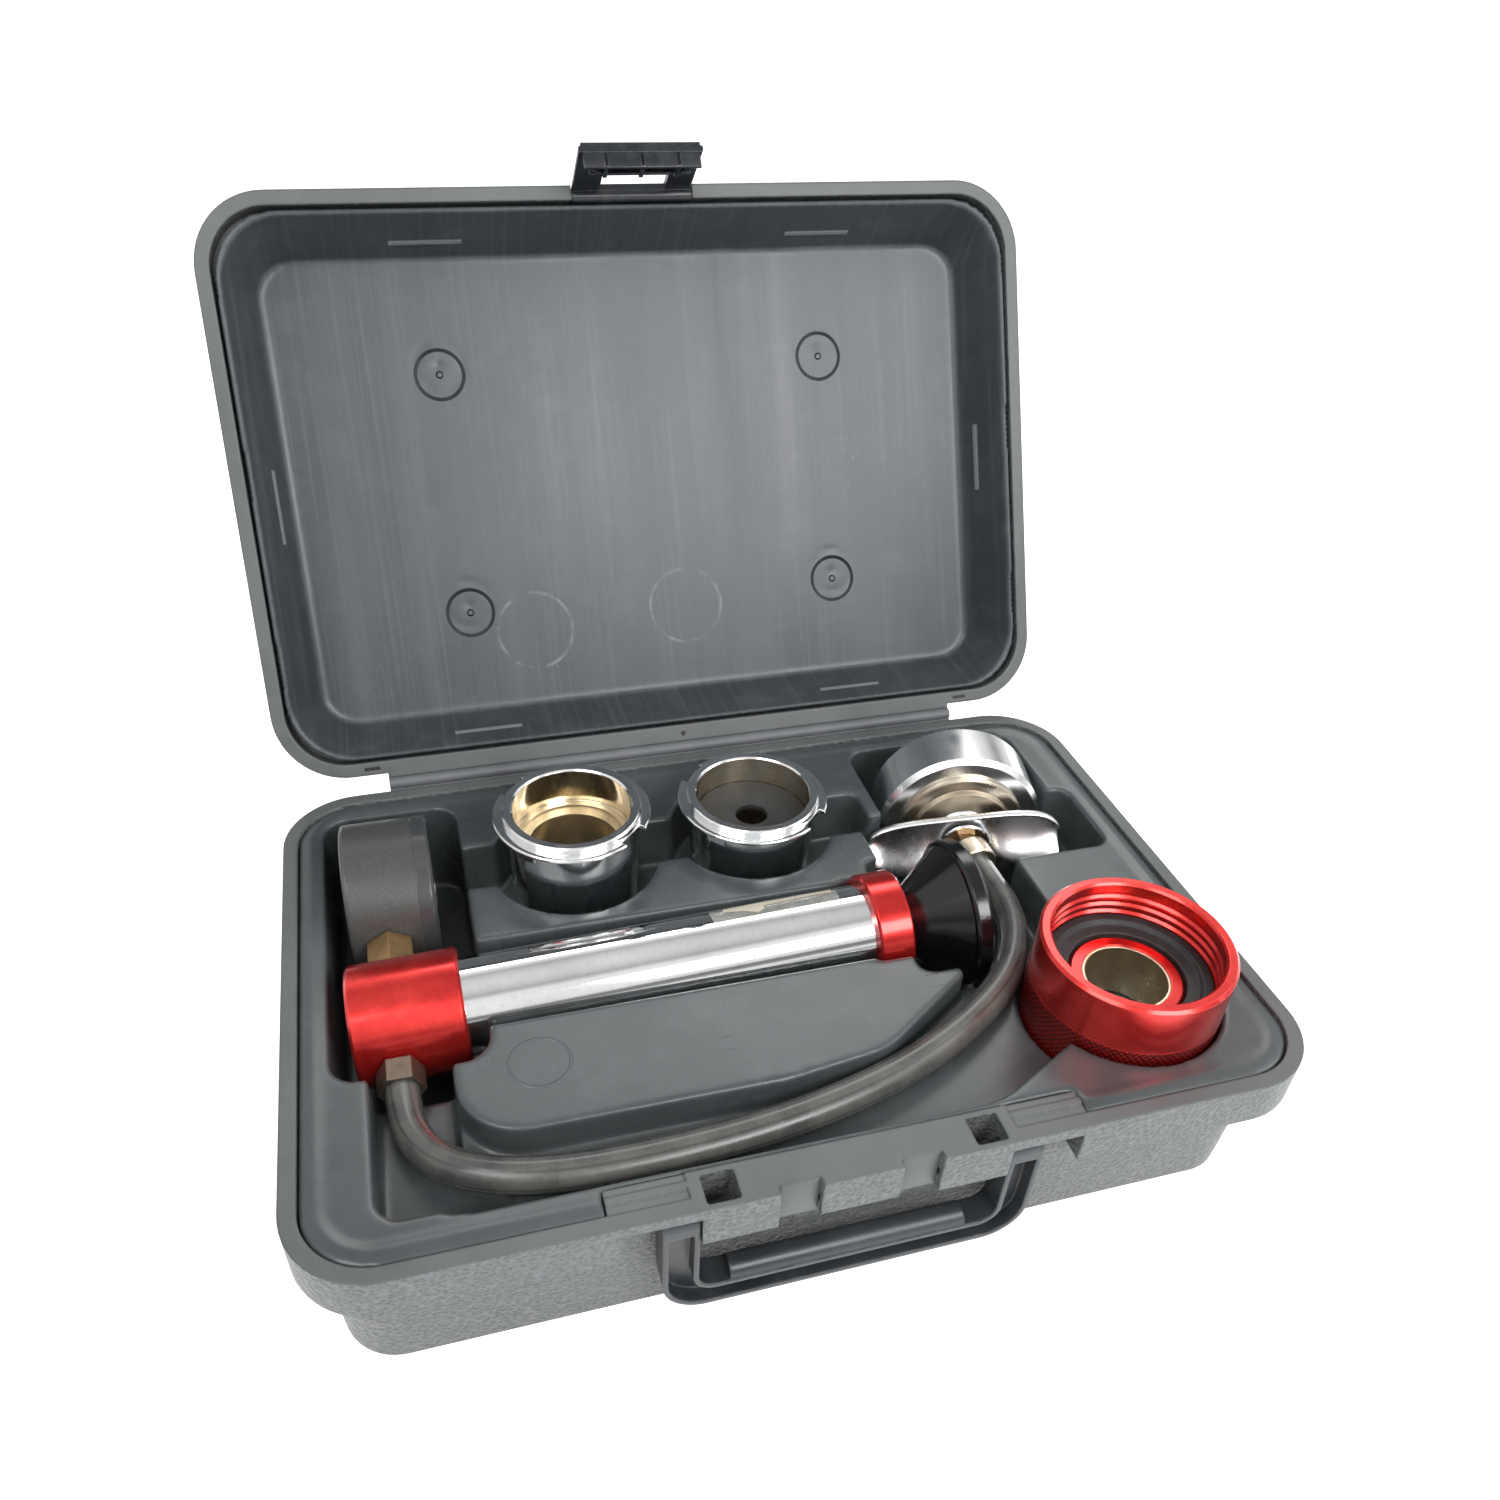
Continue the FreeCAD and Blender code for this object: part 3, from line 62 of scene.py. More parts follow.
# materials
class Nodes:
    """A material whose nodes are added and wired in one call each."""

    def __init__(self, name):
        self.mat = bpy.data.materials.new(name)
        self.mat.use_nodes = True
        self.tree = self.mat.node_tree
        self.shader = self.tree.nodes["Principled BSDF"]
        self.where = self.add("TexCoord").outputs["Object"]

    def add(self, kind, links=None, **values):
        node = self.tree.nodes.new("ShaderNode" + kind)
        for key, value in values.items():
            setattr(node, key, value)
        for key, value in (links or {}).items():
            self.put(node.inputs[key], value)
        return node

    def put(self, socket, value):
        if isinstance(value, bpy.types.NodeSocket):
            self.tree.links.new(value, socket)
        else:
            socket.default_value = value

    def set(self, **values):
        for key, value in values.items():
            self.put(self.shader.inputs[key.replace("_", " ")], value)
        return self

    def noise(self, scale, detail=4.0, rough=0.6, where=None, stretch=None):
        place = where or self.where
        if stretch:
            place = self.add("Mapping", {"Vector": place, "Scale": stretch}).outputs[0]
        return self.add("TexNoise", {"Vector": place, "Scale": scale, "Detail": detail,
                                     "Roughness": rough}).outputs["Fac"]

    def cells(self, scale, feature="F1", where=None):
        return self.add("TexVoronoi", {"Vector": where or self.where, "Scale": scale},
                        feature=feature).outputs["Distance"]

    def range(self, value, a, b, c=0.0, d=1.0):
        return self.add("MapRange", {0: value, 1: a, 2: b, 3: c, 4: d}, clamp=True).outputs[0]

    def math(self, kind, a, b=0.0):
        return self.add("Math", {0: a, 1: b}, operation=kind).outputs[0]

    def mix(self, factor, a, b):
        node = self.add("Mix", data_type="RGBA")
        self.put(node.inputs[0], factor)
        self.put(node.inputs[6], a)
        self.put(node.inputs[7], b)
        return node.outputs[2]

    def parts(self, vector):
        return self.add("SeparateXYZ", {0: vector}).outputs

    def near(self, value, centre, half, soft=0.0004):
        """1 where a value lies within half of a centre, fading over a soft edge."""
        away = self.math("ABSOLUTE", self.math("SUBTRACT", value, centre))
        return self.range(away, half, half + soft, 1.0, 0.0)

    def ring(self, x, y, centre, radius, half, soft=0.0004):
        """1 on a thin ring in the x-y plane."""
        dx, dy = self.math("SUBTRACT", x, centre[0]), self.math("SUBTRACT", y, centre[1])
        far = self.math("SQRT", self.math("ADD", self.math("MULTIPLY", dx, dx),
                                          self.math("MULTIPLY", dy, dy)))
        return self.near(far, radius, half, soft)

    def bump(self, height, strength, distance, normal=None):
        links = {"Height": height, "Strength": strength, "Distance": distance}
        if normal is not None:
            links["Normal"] = normal
        return self.add("Bump", links).outputs[0]

    def soft(self, radius):
        return self.add("Bevel", {"Radius": radius}, samples=6).outputs[0]

    def dot(self, a, b):
        return self.add("VectorMath", {0: a, 1: b}, operation="DOT_PRODUCT").outputs["Value"]

    def edge(self, radius):
        """Near 1 on a sharp edge, 0 on the flat."""
        flat = self.add("NewGeometry").outputs["Normal"]
        return self.math("SUBTRACT", 1.0, self.dot(self.soft(radius), flat))


def rgb(r, g, b):
    return (r, g, b, 1.0)


def plastic(name, colour, light, rough=0.4, grain=None, face=None, radius=0.0012, marks=None):
    """Moulded plastic: soft edges, mottling, dust, scuffs with painted highlight along the edges,
    and a leather grain where asked, with painted shade in its low parts and painted light on its
    crests.

    The grain lies on every face except those that look along the direction called face.
    """
    n = Nodes(name)
    mottle = n.noise(18, 5, 0.65)
    fine = n.noise(240, 3, 0.6)
    dust = n.range(n.noise(60, 8, 0.75), 0.5, 0.72)
    tone = n.mix(n.range(mottle, 0.3, 0.7), colour, light)
    tone = n.mix(n.math("MULTIPLY", dust, 0.16), tone, rgb(0.17, 0.175, 0.18))
    # lighter edges: partly rubbed wear, partly painted highlight along every edge
    edge_wear_and_highlight = n.math("MULTIPLY", n.range(n.edge(0.0009), 0.1, 0.45), n.range(fine, 0.4, 0.6))
    tone = n.mix(n.math("MULTIPLY", edge_wear_and_highlight, 0.4), tone, rgb(0.22, 0.225, 0.23))
    gloss = n.range(mottle, 0.3, 0.7, rough - 0.06, rough + 0.08)
    normal = n.soft(radius)
    normal = n.bump(fine, 0.08, 0.0003, normal)
    if marks:
        tone, gloss, normal = marks(n, tone, gloss, normal)
    if grain:
        leather = n.cells(grain, "SMOOTH_F1")
        ridges = n.math("ADD", leather, n.math("MULTIPLY", n.noise(grain * 0.9, 4, 0.6), 0.6))
        place = n.add("NewGeometry").outputs["Normal"]
        here = n.range(n.dot(place, face), 0.55, 0.7, 1.0, 0.0)
        height = n.math("MULTIPLY", ridges, here)
        normal = n.bump(height, 0.85, 0.0006, normal)
        # painted light on the grain's crests and painted shade in its low pits, following the
        # bump's height
        high = n.math("MULTIPLY", n.range(ridges, 0.55, 1.1), here)
        tone = n.mix(n.math("MULTIPLY", high, 0.7), tone, rgb(0.2, 0.205, 0.21))
        low = n.math("MULTIPLY", n.range(ridges, 0.25, 0.55, 1.0, 0.0), here)
        tone = n.mix(n.math("MULTIPLY", low, 0.6), tone, rgb(0.025, 0.026, 0.028))
    n.set(Base_Color=tone, Normal=normal, Roughness=gloss)
    return n.mat


# places in the CAD model: the lid's hinge line and opening, and its ceiling and middle from there;
# the tray's top; the two neck adapters; the red adapter's axis and its knurl's low and high edge
HINGE, OPEN, CEILING = (0, 0.1106, 0.0616), math.radians(116.2), 0.0248
MIDDLE = -0.109
TRAY_TOP = 0.06
NECKS, NECK_BORE, NECK_RIM = ((-0.0564, 0.0519), (0.0131, 0.0554)), 0.0214, 0.0772
RED_AXIS, RED_RADIUS, KNURL = (0.1107, -0.0575), 0.032, (0.0462, 0.0642)

# marks in the closed lid's axes: slits drawn as painted highlight, recesses, wear rings,
# scratches, and its rim's holes drawn as painted shade
SLIT_HALF, LONG_SLIT, SHORT_SLIT = 0.0003, (0.0785, 0.093), 0.1458
RECESS, RECESS_RADIUS, PIP_RADIUS = (0.079, 0.0466), 0.0086, 0.0009
WEAR_RINGS, WEAR_RADIUS = ((-0.0533, -0.0527), (0.0118, -0.057)), 0.0155
SCRATCHES = (0.088, -0.112)
RIM_SLOT, RIM_HOLE = (0.1257, -0.0068), (0.0001, -0.0057)
# marks on the tray's top: a ring, and groups of short strokes
TRAY_RING, TRAY_RING_RADIUS = (-0.0833, -0.0428), 0.0096
STROKES = ((-0.0996, -0.0388), (-0.0249, -0.0491), (0.0503, -0.0389), (-0.0227, 0.0366),
           (0.0456, 0.0353), (0.1195, 0.0141))


def lid_place(n):
    """Coordinates in the closed lid's axes, from its hinge line."""
    return n.add("Mapping", {"Vector": n.where, "Location": HINGE, "Rotation": (-OPEN, 0, 0)},
                 vector_type="TEXTURE").outputs[0]


def lid_marks(n, tone, gloss, normal):
    """The liner's moulding streaks, slits, wear rings and scratches, in the closed lid's axes."""
    place = lid_place(n)
    x, y, z = n.parts(place)
    side, along = n.math("ABSOLUTE", x), n.math("ABSOLUTE", n.math("SUBTRACT", y, MIDDLE))
    on_top = n.range(z, CEILING - 0.0015, CEILING - 0.0005)
    broad = n.noise(1.0, 5, 0.6, place, (38, 1.6, 0))
    thin = n.noise(1.0, 6, 0.7, place, (420, 5, 0))
    streak = n.math("MULTIPLY", n.range(broad, 0.38, 0.66), on_top)
    tone = n.mix(n.math("MULTIPLY", streak, 0.6), tone, rgb(0.09, 0.1, 0.104))
    tone = n.mix(n.math("MULTIPLY", n.range(thin, 0.5, 0.68), 0.45), tone, rgb(0.1, 0.11, 0.122))
    gloss = n.range(n.math("ADD", broad, n.math("MULTIPLY", thin, 0.5)), 0.5, 1.0, 0.3, 0.46)
    # slits in the sloping walls: two in each long wall, one in each short wall
    long_slit = n.math("MULTIPLY", n.near(side, LONG_SLIT[0], 0.0135),
                       n.near(along, LONG_SLIT[1], SLIT_HALF))
    short_slit = n.math("MULTIPLY", n.near(y, MIDDLE, 0.0138), n.near(side, SHORT_SLIT, SLIT_HALF))
    slits = n.math("MAXIMUM", long_slit, short_slit)
    # painted highlight: the slits are drawn as pale lines
    tone = n.mix(n.math("MULTIPLY", slits, 0.7), tone, rgb(0.24, 0.25, 0.26))
    # wear rings left by the neck adapters, and a patch of scratches
    first, second = (n.ring(x, y, centre, WEAR_RADIUS, 0.0004) for centre in WEAR_RINGS)
    worn = n.math("MAXIMUM", first, second)
    worn = n.math("MULTIPLY", worn, n.range(n.noise(90, 4, 0.7), 0.42, 0.62))
    away_x, away_y = (n.math("ABSOLUTE", n.math("SUBTRACT", value, centre))
                      for value, centre in zip((x, y), SCRATCHES))
    patch = n.range(n.math("ADD", away_x, away_y), 0.004, 0.018, 1.0, 0.0)
    nicks = n.range(n.noise(1.0, 3, 0.6, place, (700, 260, 0)), 0.62, 0.68)
    few = n.range(n.noise(24, 2, 0.5), 0.62, 0.7)
    nicks = n.math("MULTIPLY", nicks, n.math("MAXIMUM", patch, n.math("MULTIPLY", few, 0.5)))
    worn = n.math("MULTIPLY", n.math("MAXIMUM", worn, nicks), on_top)
    tone = n.mix(n.math("MULTIPLY", worn, 0.55), tone, rgb(0.26, 0.27, 0.28))
    # four shallow round recesses, each with a small pip
    recess = n.ring(side, along, RECESS, 0.0, RECESS_RADIUS, 0.0014)
    pip = n.ring(side, along, RECESS, 0.0, PIP_RADIUS, 0.0006)
    depth = n.math("MULTIPLY", n.math("SUBTRACT", recess, n.math("MULTIPLY", pip, 1.3)), on_top)
    normal = n.bump(n.math("SUBTRACT", 1.0, depth), 1.0, 0.0024, normal)
    normal = n.bump(thin, 0.05, 0.0002, normal)
    normal = n.bump(slits, 0.9, 0.0007, normal)
    return tone, gloss, normal


def rim_holes_painted_dark(n, tone, gloss, normal):
    """The small round hole and two slots along the lid's hinge edge, not cut but painted near
    black as painted shade.
    """
    x, y, z = n.parts(lid_place(n))
    side = n.math("ABSOLUTE", x)
    slot = n.math("MULTIPLY", n.near(side, RIM_SLOT[0], 0.0028), n.near(y, RIM_SLOT[1], 0.0005))
    hole = n.math("MAXIMUM", n.ring(x, y, RIM_HOLE, 0.0, 0.001, 0.0002), slot)
    hole = n.math("MULTIPLY", hole, n.range(z, 0.001, 0.002, 1.0, 0.0))
    # painted shade: the holes' dark insides are painted on the rim
    return n.mix(hole, tone, rgb(0.003, 0.003, 0.003)), gloss, normal


def tray_marks(n, tone, gloss, normal):
    """The moulding's ring and groups of four short strokes on the tray's top."""
    x, y, z = n.parts(n.where)
    on_top = n.range(z, TRAY_TOP - 0.0003, TRAY_TOP)
    height = n.ring(x, y, TRAY_RING, TRAY_RING_RADIUS, 0.0002, 0.0003)
    strokes = n.math("GREATER_THAN", n.math("SINE", n.math("MULTIPLY", x, 5600)), 0.2)
    for spot_x, spot_y in STROKES:
        here = n.math("MULTIPLY", n.near(x, spot_x, 0.0021, 0.0001), n.near(y, spot_y, 0.0024))
        height = n.math("MAXIMUM", height, n.math("MULTIPLY", here, strokes))
    height = n.math("MULTIPLY", height, on_top)
    tone = n.mix(n.math("MULTIPLY", height, 0.3), tone, rgb(0.12, 0.125, 0.13))
    return tone, gloss, n.bump(height, 0.6, 0.0004, normal)


def metal(name, colour, dark, rough, spots=0.25, scale=90, radius=0.0005, bores=()):
    """Bare or plated metal with smears, pits and a soft edge; the bores' walls are stained."""
    n = Nodes(name)
    smear = n.noise(scale * 0.4, 6, 0.7)
    pits = n.range(n.noise(scale * 6, 5, 0.7), 0.56, 0.75)
    tone = n.mix(n.math("MULTIPLY", n.range(smear, 0.4, 0.75), spots), colour, dark)
    tone = n.mix(n.math("MULTIPLY", pits, spots * 0.6), tone, dark)
    x, y, z = n.parts(n.where)
    for centre in bores:
        inside = n.math("MULTIPLY", n.ring(x, y, centre, 0.0, NECK_BORE, 0.0003),
                        n.range(z, NECK_RIM - 0.001, NECK_RIM, 1.0, 0.15))
        stain = n.mix(n.range(n.noise(75, 6, 0.7), 0.35, 0.68), rgb(0.95, 0.86, 0.68),
                      rgb(0.6, 0.46, 0.27))
        tone = n.mix(n.math("MULTIPLY", inside, 0.85), tone, stain)
    n.set(Base_Color=tone, Metallic=1.0,
          Roughness=n.range(smear, 0.3, 0.75, rough * 0.7, rough * 1.6))
    n.set(Normal=n.bump(n.noise(scale * 8, 3, 0.6), 0.04, 0.0002, n.soft(radius)))
    return n.mat


def anodised(name, knurled=False):
    """Red anodised aluminium, with the red adapter's diamond knurl if knurled."""
    n = Nodes(name)
    smear = n.noise(40, 6, 0.7)
    chips = n.range(n.noise(420, 4, 0.7), 0.68, 0.74)
    tone = n.mix(n.range(smear, 0.35, 0.7), rgb(0.58, 0.016, 0.016), rgb(0.78, 0.045, 0.034))
    # painted highlight: a pale orange-red along the edges
    tone = n.mix(n.math("MULTIPLY", n.range(n.edge(0.0006), 0.1, 0.4), 0.4), tone,
                 rgb(0.95, 0.32, 0.25))
    tone = n.mix(n.math("MULTIPLY", chips, 0.4), tone, rgb(0.2, 0.01, 0.01))
    normal = n.bump(n.noise(900, 3, 0.6), 0.05, 0.0002, n.soft(0.0005))
    if knurled:
        low, high = KNURL
        x, y, z = n.parts(n.where)
        turn = n.math("ARCTAN2", n.math("SUBTRACT", y, RED_AXIS[1]),
                      n.math("SUBTRACT", x, RED_AXIS[0]))
        around, rise = n.math("MULTIPLY", turn, 46), n.math("MULTIPLY", z, 1430)
        a = n.math("ABSOLUTE", n.math("SINE", n.math("ADD", around, rise)))
        b = n.math("ABSOLUTE", n.math("SINE", n.math("SUBTRACT", around, rise)))
        outer = n.ring(x, y, RED_AXIS, RED_RADIUS, 0.0012)
        here = n.math("MULTIPLY", n.near(z, (low + high) / 2, (high - low) / 2), outer)
        diamond = n.math("MULTIPLY", n.math("MINIMUM", a, b), here)
        # painted shade in the knurl's grooves: darker where the diamond pattern is low
        tone = n.mix(n.math("MULTIPLY", n.range(diamond, 0.12, 0.5, 1.0, 0.25), here), tone,
                     rgb(0.07, 0.002, 0.004))
        normal = n.bump(diamond, 0.6, 0.0003, normal)
    n.set(Base_Color=tone, Metallic=0.8, Roughness=n.range(smear, 0.3, 0.75, 0.18, 0.32),
          Normal=normal)
    n.shader.inputs["Coat Weight"].default_value = 0.4
    n.shader.inputs["Coat Roughness"].default_value = 0.15
    return n.mat


def satin(name, colour, light, rough):
    """Lacquer or smooth plastic with a very fine bumpy surface."""
    n = Nodes(name)
    bumps = n.noise(1800, 3, 0.55)
    n.set(Base_Color=n.mix(n.range(bumps, 0.4, 0.65), colour, light), Roughness=rough,
          Normal=n.bump(bumps, 0.18, 0.0002, n.soft(0.0006)))
    return n.mat


def clear(name):
    n = Nodes(name)
    n.set(Base_Color=rgb(0.93, 0.95, 0.96), Roughness=n.range(n.noise(50), 0.3, 0.7, 0.02, 0.07))
    n.shader.inputs["Transmission Weight"].default_value = 1.0
    n.shader.inputs["IOR"].default_value = 1.45
    return n.mat


def film(name):
    """Clear tape, slightly yellowed."""
    n = Nodes(name)
    n.set(Base_Color=n.mix(n.range(n.noise(90), 0.3, 0.7), rgb(0.7, 0.68, 0.6),
                           rgb(0.8, 0.78, 0.7)),
          Roughness=0.18, Alpha=n.range(n.noise(160, 5, 0.7), 0.35, 0.7, 0.12, 0.34))
    return n.mat


def painted(name, colour, light):
    n = Nodes(name)
    n.set(Base_Color=n.mix(n.range(n.noise(70), 0.3, 0.7), colour, light), Roughness=0.5,
          Normal=n.bump(n.noise(500), 0.05, 0.0002))
    return n.mat


def hose_rubber(name):
    """Worn black rubber with fine ribs along its length, their grooves painted darker as painted
    shade.
    """
    n = Nodes(name)
    smear = n.noise(45, 6, 0.7)
    around = n.parts(n.add("TexCoord").outputs["UV"])["Y"]
    ribs = n.math("SINE", n.math("MULTIPLY", around, 2 * math.pi * 6))
    tone = n.mix(n.range(smear, 0.3, 0.72), rgb(0.045, 0.045, 0.042), rgb(0.125, 0.122, 0.112))
    # painted shade along the ribs' grooves
    tone = n.mix(n.range(ribs, -1.0, -0.8, 0.5, 0.0), tone, rgb(0.015, 0.014, 0.013))
    n.set(Base_Color=tone, Roughness=n.range(smear, 0.3, 0.7, 0.2, 0.36),
          Normal=n.bump(n.noise(300, 4, 0.6), 0.08, 0.0003, n.bump(ribs, 0.2, 0.0003)))
    return n.mat


# the way the open lid's rim faces; dark and light tones of the case's outer plastic
RIM_UP = (0.0, -0.897, 0.4415)
DARK, PALE = rgb(0.08, 0.085, 0.085), rgb(0.115, 0.121, 0.12)
case_black = plastic("case_black", DARK, PALE, 0.42, grain=750, face=(0, 0, 1))
lid_black = plastic("lid_black", DARK, PALE, 0.42, grain=750, face=RIM_UP, marks=rim_holes_painted_dark)
smooth_black = plastic("smooth_black", DARK, PALE, 0.42)
tape = film("tape")
paper = painted("paper", rgb(0.5, 0.45, 0.35), rgb(0.62, 0.57, 0.46))
tray_black = plastic("tray_black", rgb(0.044, 0.051, 0.053), rgb(0.062, 0.071, 0.073), 0.29,
                     marks=tray_marks)
liner_black = plastic("liner_black", rgb(0.032, 0.038, 0.044), rgb(0.047, 0.055, 0.062), 0.34,
                      radius=0.0018, marks=lid_marks)
handle_black = plastic("handle_black", rgb(0.02, 0.023, 0.026), rgb(0.036, 0.04, 0.044), 0.33)
latch_black = plastic("latch_black", rgb(0.008, 0.01, 0.013), rgb(0.016, 0.019, 0.023), 0.3,
                      radius=0.0005)
hinge_pale = plastic("hinge_pale", rgb(0.09, 0.095, 0.1), rgb(0.15, 0.155, 0.16), 0.5)
knob_black = satin("knob_black", rgb(0.003, 0.003, 0.004), rgb(0.006, 0.006, 0.007), 0.14)
rubber_black = plastic("rubber_black", rgb(0.014, 0.014, 0.014), rgb(0.026, 0.026, 0.027), 0.55)
chrome = metal("chrome", rgb(0.86, 0.87, 0.88), rgb(0.46, 0.42, 0.37), 0.05, 0.4, 70)
worn_chrome = metal("worn_chrome", rgb(0.84, 0.85, 0.86), rgb(0.4, 0.38, 0.35), 0.1, 0.35)
pitted_chrome = metal("pitted_chrome", rgb(0.86, 0.87, 0.88), rgb(0.42, 0.4, 0.36), 0.27, 0.45)
skirt_chrome = metal("skirt_chrome", rgb(0.86, 0.87, 0.88), rgb(0.5, 0.49, 0.46), 0.2, 0.3)
neck_chrome = metal("neck_chrome", rgb(0.84, 0.85, 0.86), rgb(0.4, 0.38, 0.35), 0.1, 0.35,
                    bores=NECKS)
steel = metal("steel", rgb(0.6, 0.6, 0.61), rgb(0.3, 0.29, 0.28), 0.25, 0.3)
brass = metal("brass", rgb(0.52, 0.33, 0.16), rgb(0.13, 0.07, 0.035), 0.32, 0.8)
dull_nickel = metal("dull_nickel", rgb(0.58, 0.52, 0.42), rgb(0.25, 0.2, 0.14), 0.3, 0.6)
drab = metal("drab", rgb(0.24, 0.2, 0.16), rgb(0.1, 0.08, 0.06), 0.4, 0.6)
aged_brass = metal("aged_brass", rgb(0.82, 0.73, 0.55), rgb(0.38, 0.28, 0.16), 0.28, 0.75)
red = anodised("red_anodised")
red_knurled = anodised("red_knurled", knurled=True)
gauge_satin = satin("gauge_satin", rgb(0.05, 0.052, 0.05), rgb(0.075, 0.077, 0.073), 0.33)
bezel_black = plastic("bezel_black", rgb(0.03, 0.032, 0.034), rgb(0.06, 0.062, 0.064), 0.16,
                      radius=0.0008)
lens = clear("clear_lens")
dial = painted("dial_white", rgb(0.75, 0.75, 0.72), rgb(0.84, 0.84, 0.82))
needle = painted("pointer_red", rgb(0.5, 0.02, 0.02), rgb(0.62, 0.04, 0.03))
hose_brown = hose_rubber("hose_brown")

LOOKS = {
    "base_shell": case_black, "base_tray": tray_black, "hinge_rod": hinge_pale,
    "handle": handle_black, "lid_shell": lid_black, "lid_liner": liner_black,
    "latch": latch_black, "latch_pin": steel, "pump_head": red, "pump_barrel": chrome,
    "pump_collar": red, "plunger_rod": steel, "piston": brass, "piston_seal": rubber_black,
    "pump_knob": knob_black, "gauge_case": gauge_satin, "gauge_bezel": bezel_black,
    "gauge_lens": lens, "gauge_dial": dial, "gauge_movement": brass, "gauge_pointer": needle,
    "gauge_stem": brass, "hose_nipple": brass, "hose_nut": drab, "hose_ferrule": dull_nickel,
    "hose": hose_brown, "cap_skirt": skirt_chrome, "cap_seal": rubber_black,
    "cap_disc": dull_nickel, "cap_spring": steel, "cap_stem": brass, "cap_lever": pitted_chrome,
    "neck_adapter_a": neck_chrome, "neck_adapter_b": neck_chrome, "neck_seat_a": aged_brass,
    "neck_seat_b": aged_brass, "neck_washer_b": rubber_black, "red_adapter": red_knurled,
    "red_gasket": rubber_black, "red_sleeve": aged_brass,
}
for name, look in LOOKS.items():
    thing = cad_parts[name]
    if not thing.material_slots:
        thing.data.materials.append(look)
    for spot in thing.material_slots:
        spot.material = look


def baked(thing):
    """A plain mesh of an object with its modifiers applied."""
    seen = thing.evaluated_get(bpy.context.evaluated_depsgraph_get())
    mesh = bpy.data.meshes.new_from_object(seen)
    thing.modifiers.clear()
    thing.data = mesh
    return mesh


def formed(node, body, look, cell, passes, keep):
    """A vacuum-formed piece: a copy of a CAD node with its edges drawn soft."""
    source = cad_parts[node]
    made = bpy.data.objects.new("formed_" + node, source.data.copy())
    made.matrix_world = source.matrix_world
    scene.collection.objects.link(made)
    grid = made.modifiers.new("grid", "REMESH")
    grid.mode = "VOXEL"
    grid.voxel_size = cell
    ease = made.modifiers.new("ease", "SMOOTH")
    ease.factor, ease.iterations = 0.5, passes
    fewer = made.modifiers.new("fewer", "DECIMATE")
    fewer.ratio = keep
    mesh = baked(made)
    mesh.polygons.foreach_set("use_smooth", [True] * len(mesh.polygons))
    mesh.materials.clear()
    mesh.materials.append(look)
    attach(made, body)
    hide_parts(node)


formed("base_tray", "case", tray_black, 0.0009, 14, 0.25)
formed("lid_liner", "lid", liner_black, 0.001, 9, 0.25)


def named(name, bm):
    """A new object with the bmesh as its mesh; the bmesh is freed."""
    mesh = bpy.data.meshes.new(name)
    bm.to_mesh(mesh)
    bm.free()
    return bpy.data.objects.new(name, mesh)


def finish_piece(made, body, look, soft=0.0):
    """Gives an added piece its soft edges, its look and the body that it rides."""
    scene.collection.objects.link(made)
    if soft:
        edge = made.modifiers.new("edge", "BEVEL")
        edge.width, edge.segments, edge.limit_method = soft, 2, "ANGLE"
        baked(made)
    made.data.polygons.foreach_set("use_smooth", [True] * len(made.data.polygons))
    made.data.set_sharp_from_angle(angle=math.radians(50))
    made.data.materials.clear()
    made.data.materials.append(look)
    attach(made, body)


def blocks(name, spans):
    """One mesh of several blocks, each (low corner, high corner) in millimetres."""
    bm = bmesh.new()
    for low, high in spans:
        made = bmesh.ops.create_cube(bm, size=1)["verts"]
        for v in made:
            v.co = [(l + (c + 0.5) * (h - l)) / 1000 for c, l, h in zip(v.co, low, high)]
    return named(name, bm)


def mirrored(near, far, low, high):
    """Two spans for blocks(), one on each side of the middle; low and high are (y, z)."""
    spans = []
    for side in (-1, 1):
        inner, outer = sorted((side * near, side * far))
        spans.append(((inner, *low), (outer, *high)))
    return spans


# latch: the box ribs, gussets and flanges on the side that faces the case
LATCH_PIVOT = (0, 0.207015, 0.252105)
LATCH_LEAN = math.radians(-130.7)


def latch_ribs():
    """In millimetres from the latch's pin: the box's low and high wall, its depth and its ribs."""
    low, high, deep = -26.9, -19.3, 4.6
    spans = [((-21.6, -1.2, low), (21.6, deep, low + 1.2)),
             ((-19, -1.2, high - 1.2), (19, deep - 1.4, high))]
    for x in (-13.4, 0, 13.4):
        spans.append(((x - 0.8, -1.2, low), (x + 0.8, deep - 0.4, high - 0.2)))
    made = blocks("latch_ribs", spans)
    bm = bmesh.new()
    bm.from_mesh(made.data)
    for side in (-1, 1):
        for v in bmesh.ops.create_cube(bm, size=1)["verts"]:
            x = 14.6 + (v.co.x + 0.5) * 6.4
            z = (high - 1.6 if v.co.x < 0 else low + 2.2) + v.co.z
            v.co = (side * x / 1000, (1.2 + v.co.y * 4.6) / 1000, z / 1000)
    bmesh.ops.recalc_face_normals(bm, faces=bm.faces)
    bm.to_mesh(made.data)
    bm.free()
    place = Matrix.Translation(LATCH_PIVOT) @ Matrix.Rotation(LATCH_LEAN, 4, "X")
    made.data.transform(place)
    finish_piece(made, "latch_flap", latch_black, 0.00025)


latch_ribs()


